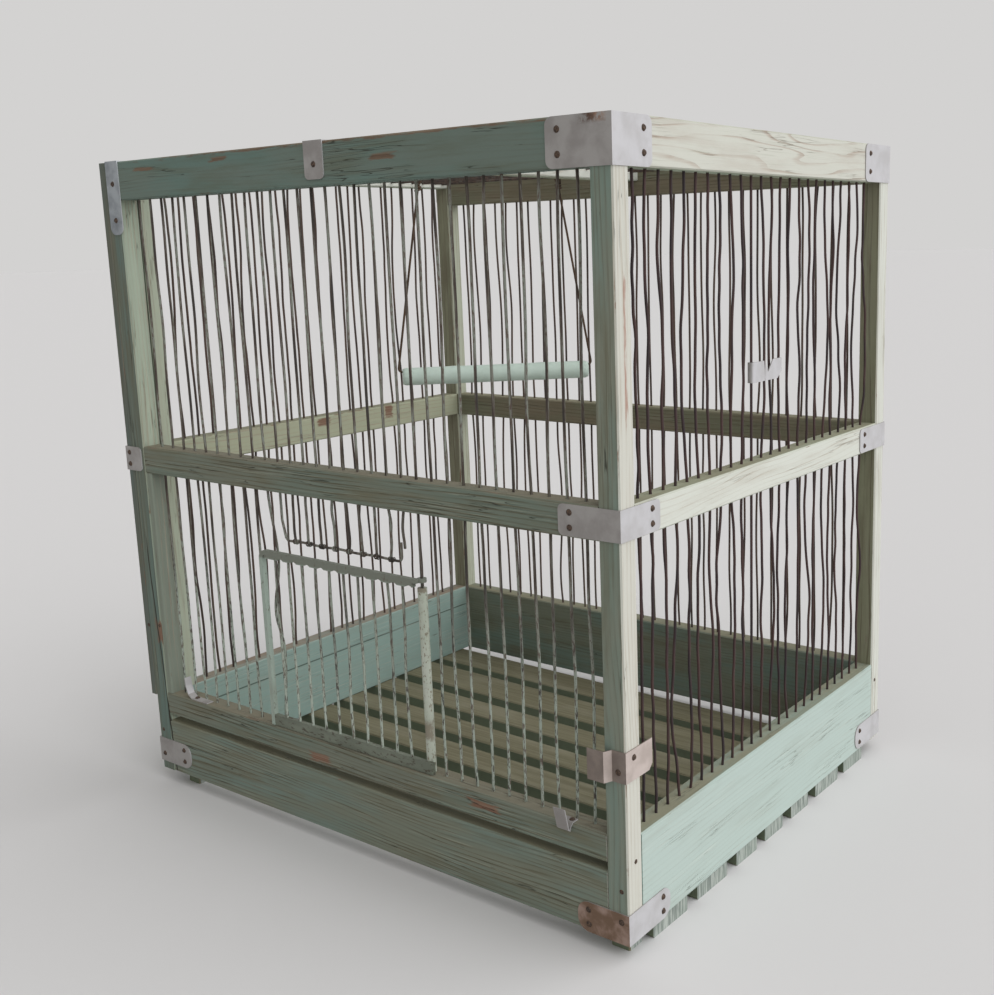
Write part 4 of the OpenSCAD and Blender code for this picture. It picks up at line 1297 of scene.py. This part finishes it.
@dataclass
class Swing:
    """The hanger, bent from one wire with a coiled tail at each hook, and the cane perch."""

    iron: FlakedWire = FlakedWire("hanger_wire_rusted", "#4b463f", "#33291f", "#54402f", painted=0.1)
    cane: PaintedTin = PaintedTin("cane_painted_green", "#c2d2c7", "#8a7d66", 0.25, 3.0, "#b0c0b4")
    hook_r: float = 3.5 * MM
    clear: float = 0.1 * MM
    lift: float = 0.08 * MM
    bore_r: float = 4.5 * MM
    end_room: float = 2.5 * MM
    hook_arc_deg: tuple[float, float] = (230, -60)
    tail_r: float = 1.65 * MM
    tail_step: float = 1.7 * MM

    def frame_of(self) -> tuple[Array, Array, float, list[Array]]:
        """Where the swing hangs.

        Returns:
            The cane's middle, its unit direction, half its length, and the tops of the hooks.
        """
        points = node_points("perch_cane")
        hooks = hook_tops()
        low, high = points.min(axis=0), points.max(axis=0)
        middle = (low + high) / 2
        u = hooks[1] - hooks[0]
        u[2] = 0
        u = u / np.linalg.norm(u)
        return middle, u, float(np.abs((points - middle) @ u).max()), hooks

    def neck(self, swing_half: float, hook_z: float) -> Array:
        """Where the straight side ends under its hook."""
        return np.array([swing_half + 0.4 * MM, 0, hook_z - 2 * self.hook_r])

    def half_path(self, rod_half: float, swing_half: float, rod_z: float, hook_z: float) -> Array:
        """Half of the hanger in its own plane, as (distance along u, distance across, z).

        The rod runs to its corner, a quarter circle of radius R about (rod_half - R, rod_z + R),
        the side slants in a straight line to the hook, the hook is an arc of 290 degrees about
        (swing_half, hook_z).

        Args:
            rod_half: half the rod's length, out to the side's foot.
            swing_half: half the distance between the hooks.
            rod_z: height of the rod.
            hook_z: height of the middles of the hooks.

        Returns:
            The points from the rod's middle to the hook's open end.
        """
        turn_r = self.end_room - self.clear
        slant = math.atan2(rod_half - swing_half, hook_z - rod_z)
        a = np.linspace(1.5 * np.pi, 2 * np.pi + slant, 12)
        bow = np.stack([np.cos(a) - 1, 0 * a, np.sin(a) + 1], axis=1) * turn_r
        corner = np.array([rod_half, 0, rod_z]) + bow
        rod = np.linspace([0, 0, rod_z], corner[0], 30)[:-1]
        b = np.radians(np.linspace(*self.hook_arc_deg, 40))
        hook = np.stack([np.cos(b), 0 * b, np.sin(b)], axis=1) * self.hook_r + [swing_half, 0, hook_z]
        neck = self.neck(swing_half, hook_z)
        side = np.linspace(corner[-1], neck, 60)[1:]
        up = np.linspace(neck, hook[0], 6)[1:-1]
        return np.concatenate([rod, corner, side, up, hook])

    def tail(self, end: Array, neck: Array, lean: Array) -> Array:
        """The tail: from the hook's end inwards, then two turns round the side, downwards.

        The turns are p = c + h l a / 2 pi + (r cos a, r sin a, 0), with l the side's direction.

        Args:
            end: the hook's open end.
            neck: where the straight side ends under its hook.
            lean: the side's unit direction, downwards.

        Returns:
            The points of the path.
        """
        a = np.linspace(0, 4 * np.pi, 48)
        down = lean[None] * (self.tail_step * a / (2 * np.pi))[:, None]
        coil = neck + down + np.stack([np.cos(a), np.sin(a), 0 * a], axis=1) * self.tail_r
        return np.concatenate([np.linspace(end, coil[0], 6)[:-1], coil])

    def build(self) -> None:
        """Builds the hanger with its tails, and the cane as a hollow turned form."""
        middle, u, half, hooks = self.frame_of()
        v = np.array([-u[1], u[0], 0])
        rod_z = middle[2] + self.bore_r - WIRE_R - self.clear
        hook_z = node_points("swing_hanger")[:, 2].max() - WIRE_R - self.hook_r + self.lift
        swing_half = float(np.linalg.norm((hooks[1] - hooks[0])[:2])) / 2
        path = self.half_path(half + self.end_room, swing_half, rod_z, hook_z)
        whole = np.concatenate([path[:0:-1] * [-1, 1, 1], path])
        neck = self.neck(swing_half, hook_z)
        corner = np.array([half + self.end_room, 0, rod_z])
        tail = self.tail(path[-1], neck, unit(corner - neck))

        def placed(points: Array) -> Array:
            """Points from the swing's plane to the cage."""
            return np.array([*middle[:2], 0]) + points @ np.array([u, v, [0, 0, 1]])

        parts = [tubes(placed(whole)[None], WIRE_R, v, 10)]
        parts += [tubes(placed(tail * [s, 1, 1])[None], WIRE_R, [0.02, 0.03, 1], 8) for s in (1, -1)]
        hanger = Surface.joined(parts).to_object("bent_swing_hanger")
        finished(hanger, "swing", self.iron.dress(), ["swing_hanger"])
        self.turn_cane(middle, u, v, half)

    def turn_cane(self, middle: Array, u: Array, v: Array, half: float) -> None:
        """The hollow cane as a profile turned about its axis.

        At s from -1 to 1 the outside is R - 0.25 mm (1 - g(s)), with g a sum of bells at the two
        joints of the cane, and its ends are rounded by 0.8 mm. The bore is a straight cylinder.

        Args:
            middle: the cane's middle.
            u: its unit direction.
            v: the level direction square to it.
            half: half its length.
        """
        rings, sides = 61, 32
        outer = node_points("perch_cane")[:, 2].max() - middle[2]
        s = np.linspace(-1, 1, rings)
        swell = np.exp(-(((s + 0.45) / 0.05) ** 2)) + np.exp(-(((s - 0.5) / 0.05) ** 2))
        radius = outer - 0.25 * MM * (1 - swell)
        radius = radius - 0.8 * MM * np.clip((np.abs(s) - 0.985) / 0.015, 0, 1) ** 2
        bore = np.stack([s[::-1] * half, np.full(rings, self.bore_r)], 1)
        profile = np.concatenate([np.stack([s * half, radius], 1), bore])
        a = np.linspace(0, 2 * np.pi, sides, endpoint=False)
        ring = np.cos(a)[:, None] * v + np.sin(a)[:, None] * np.array([0, 0, 1])
        verts = middle + profile[:, None, :1] * u + profile[:, None, 1:] * ring[None]
        number = np.arange(len(profile) * sides).reshape(len(profile), sides)
        after, ahead = np.roll(number, -1, axis=0), np.roll(number, -1, axis=1)
        both = np.roll(after, -1, axis=1)
        quads = np.stack([number, ahead, both, after], axis=-1).reshape(-1, 4)
        piece = Surface(verts.reshape(-1, 3), quads, np.zeros((0, 3), int)).to_object("turned_perch_cane")
        finished(piece, "perch", self.cane.dress(Grain.ALONG_X), ["perch_cane"])


# ------------------------------------------------------------------------------ studio


@dataclass
class Studio:
    """Pale floor, soft window light from the right, and the camera at the photograph's angle."""

    eye_mm: tuple[float, float, float] = (513.0, -608.2, 359.9)
    yaw_deg: float = 35.9
    pitch_deg: float = 10.88
    roll_deg: float = -1.44
    focal_px: float = 1192.0
    centre_px: tuple[float, float] = (602.0, 473.0)
    frame_px: tuple[float, float] = (994.0, 995.0)
    floor_tone: str = "#d2d1d0"
    backdrop_tone: str = "#d3d2d1"
    sky_tone: str = "#f7f5f3"
    sky: float = 0.53
    window_side: tuple[float, float, float] = (0.8, 0.16, 0.7)
    window_light: float = 2.6
    window_wide_deg: float = 90
    window_tone: str = "#fbfcff"
    sensor_mm: float = 36.0
    floor_half: float = 30.0

    def camera(self) -> None:
        """Places the camera.

        Forward is the direction at yaw and pitch, right is level and square to it, up is
        right x forward turned over, and right and up are rolled together. The principal point's
        offset from the frame's middle, over its long side, gives the two shifts.
        """
        yaw, pitch, roll = (math.radians(v) for v in (self.yaw_deg, self.pitch_deg, self.roll_deg))
        level = math.cos(pitch)
        forward = Vector((-math.sin(yaw) * level, math.cos(yaw) * level, -math.sin(pitch)))
        right = Vector((math.cos(yaw), math.sin(yaw), 0))
        up = right.cross(forward)
        r = right * math.cos(roll) + up * math.sin(roll)
        u = up * math.cos(roll) - right * math.sin(roll)
        lens = bpy.data.cameras.new("camera")
        (wide, high), long = self.frame_px, max(self.frame_px)
        lens.sensor_width = self.sensor_mm
        lens.lens = self.sensor_mm * self.focal_px / long
        lens.shift_x = (wide / 2 - self.centre_px[0]) / long
        lens.shift_y = (self.centre_px[1] - high / 2) / long
        lens.clip_start, lens.clip_end = 0.01, 50
        eye = bpy.data.objects.new("camera", lens)
        eye.matrix_world = Matrix((r, u, -forward)).transposed().to_4x4()
        eye.location = Vector(self.eye_mm) * MM
        bpy.context.scene.collection.objects.link(eye)
        bpy.context.scene.camera = eye

    def window(self) -> None:
        """Even light from one side, as from a wide window; its side points from the cage to it."""
        data = bpy.data.lights.new("window", "SUN")
        data.energy = self.window_light
        data.angle = math.radians(self.window_wide_deg)
        data.color = linear(self.window_tone)[:3]
        lamp = bpy.data.objects.new("window", data)
        lamp.rotation_euler = (-Vector(self.window_side)).to_track_quat("-Z", "Y").to_euler()
        bpy.context.scene.collection.objects.link(lamp)

    def floor(self) -> None:
        """A pale floor that is the background too, from edge to edge."""
        corners = [[-1, -1, 0], [1, -1, 0], [1, 1, 0], [-1, 1, 0]]
        verts = np.array(corners, float) * self.floor_half
        plane = Surface(verts, np.array([[0, 1, 2, 3]]), np.zeros((0, 3), int)).to_object("floor")
        plane.data.materials.append(Finish.start("pale_matt_floor").end(linear(self.floor_tone), 0.9, 0.1))

    def world(self) -> None:
        """Even light from all round, and a pale backdrop where the camera looks past the floor."""
        world = bpy.data.worlds.new("studio")
        bpy.context.scene.world = world
        world.use_nodes = True
        world.node_tree.nodes.clear()
        g = Graph(world.node_tree)
        rays = g.add("LightPath").outputs
        seen = g.most(*(rays[f"Is {kind} Ray"] for kind in ("Camera", "Glossy", "Transmission")))
        light = g.add("Background", {"Color": linear(self.sky_tone), "Strength": self.sky})
        backdrop = g.add("Background", {"Color": linear(self.backdrop_tone), "Strength": 1.0})
        both = g.add("MixShader", {0: seen, 1: light.outputs[0], 2: backdrop.outputs[0]})
        g.add("OutputWorld", {"Surface": both.outputs[0]})

    def build(self) -> None:
        """Sets up floor, world, window and camera."""
        self.floor()
        self.world()
        self.window()
        self.camera()
        bpy.context.scene.view_settings.view_transform = "Standard"


def main() -> None:
    """Builds the sub-assemblies in order."""
    logging.basicConfig(level=logging.INFO, format="%(name)s: %(message)s")
    Carcass().build()
    TinFittings().build()
    Grille().build()
    WireDoor().build()
    Swing().build()
    Studio().build()


if __name__ == "__main__":
    main()
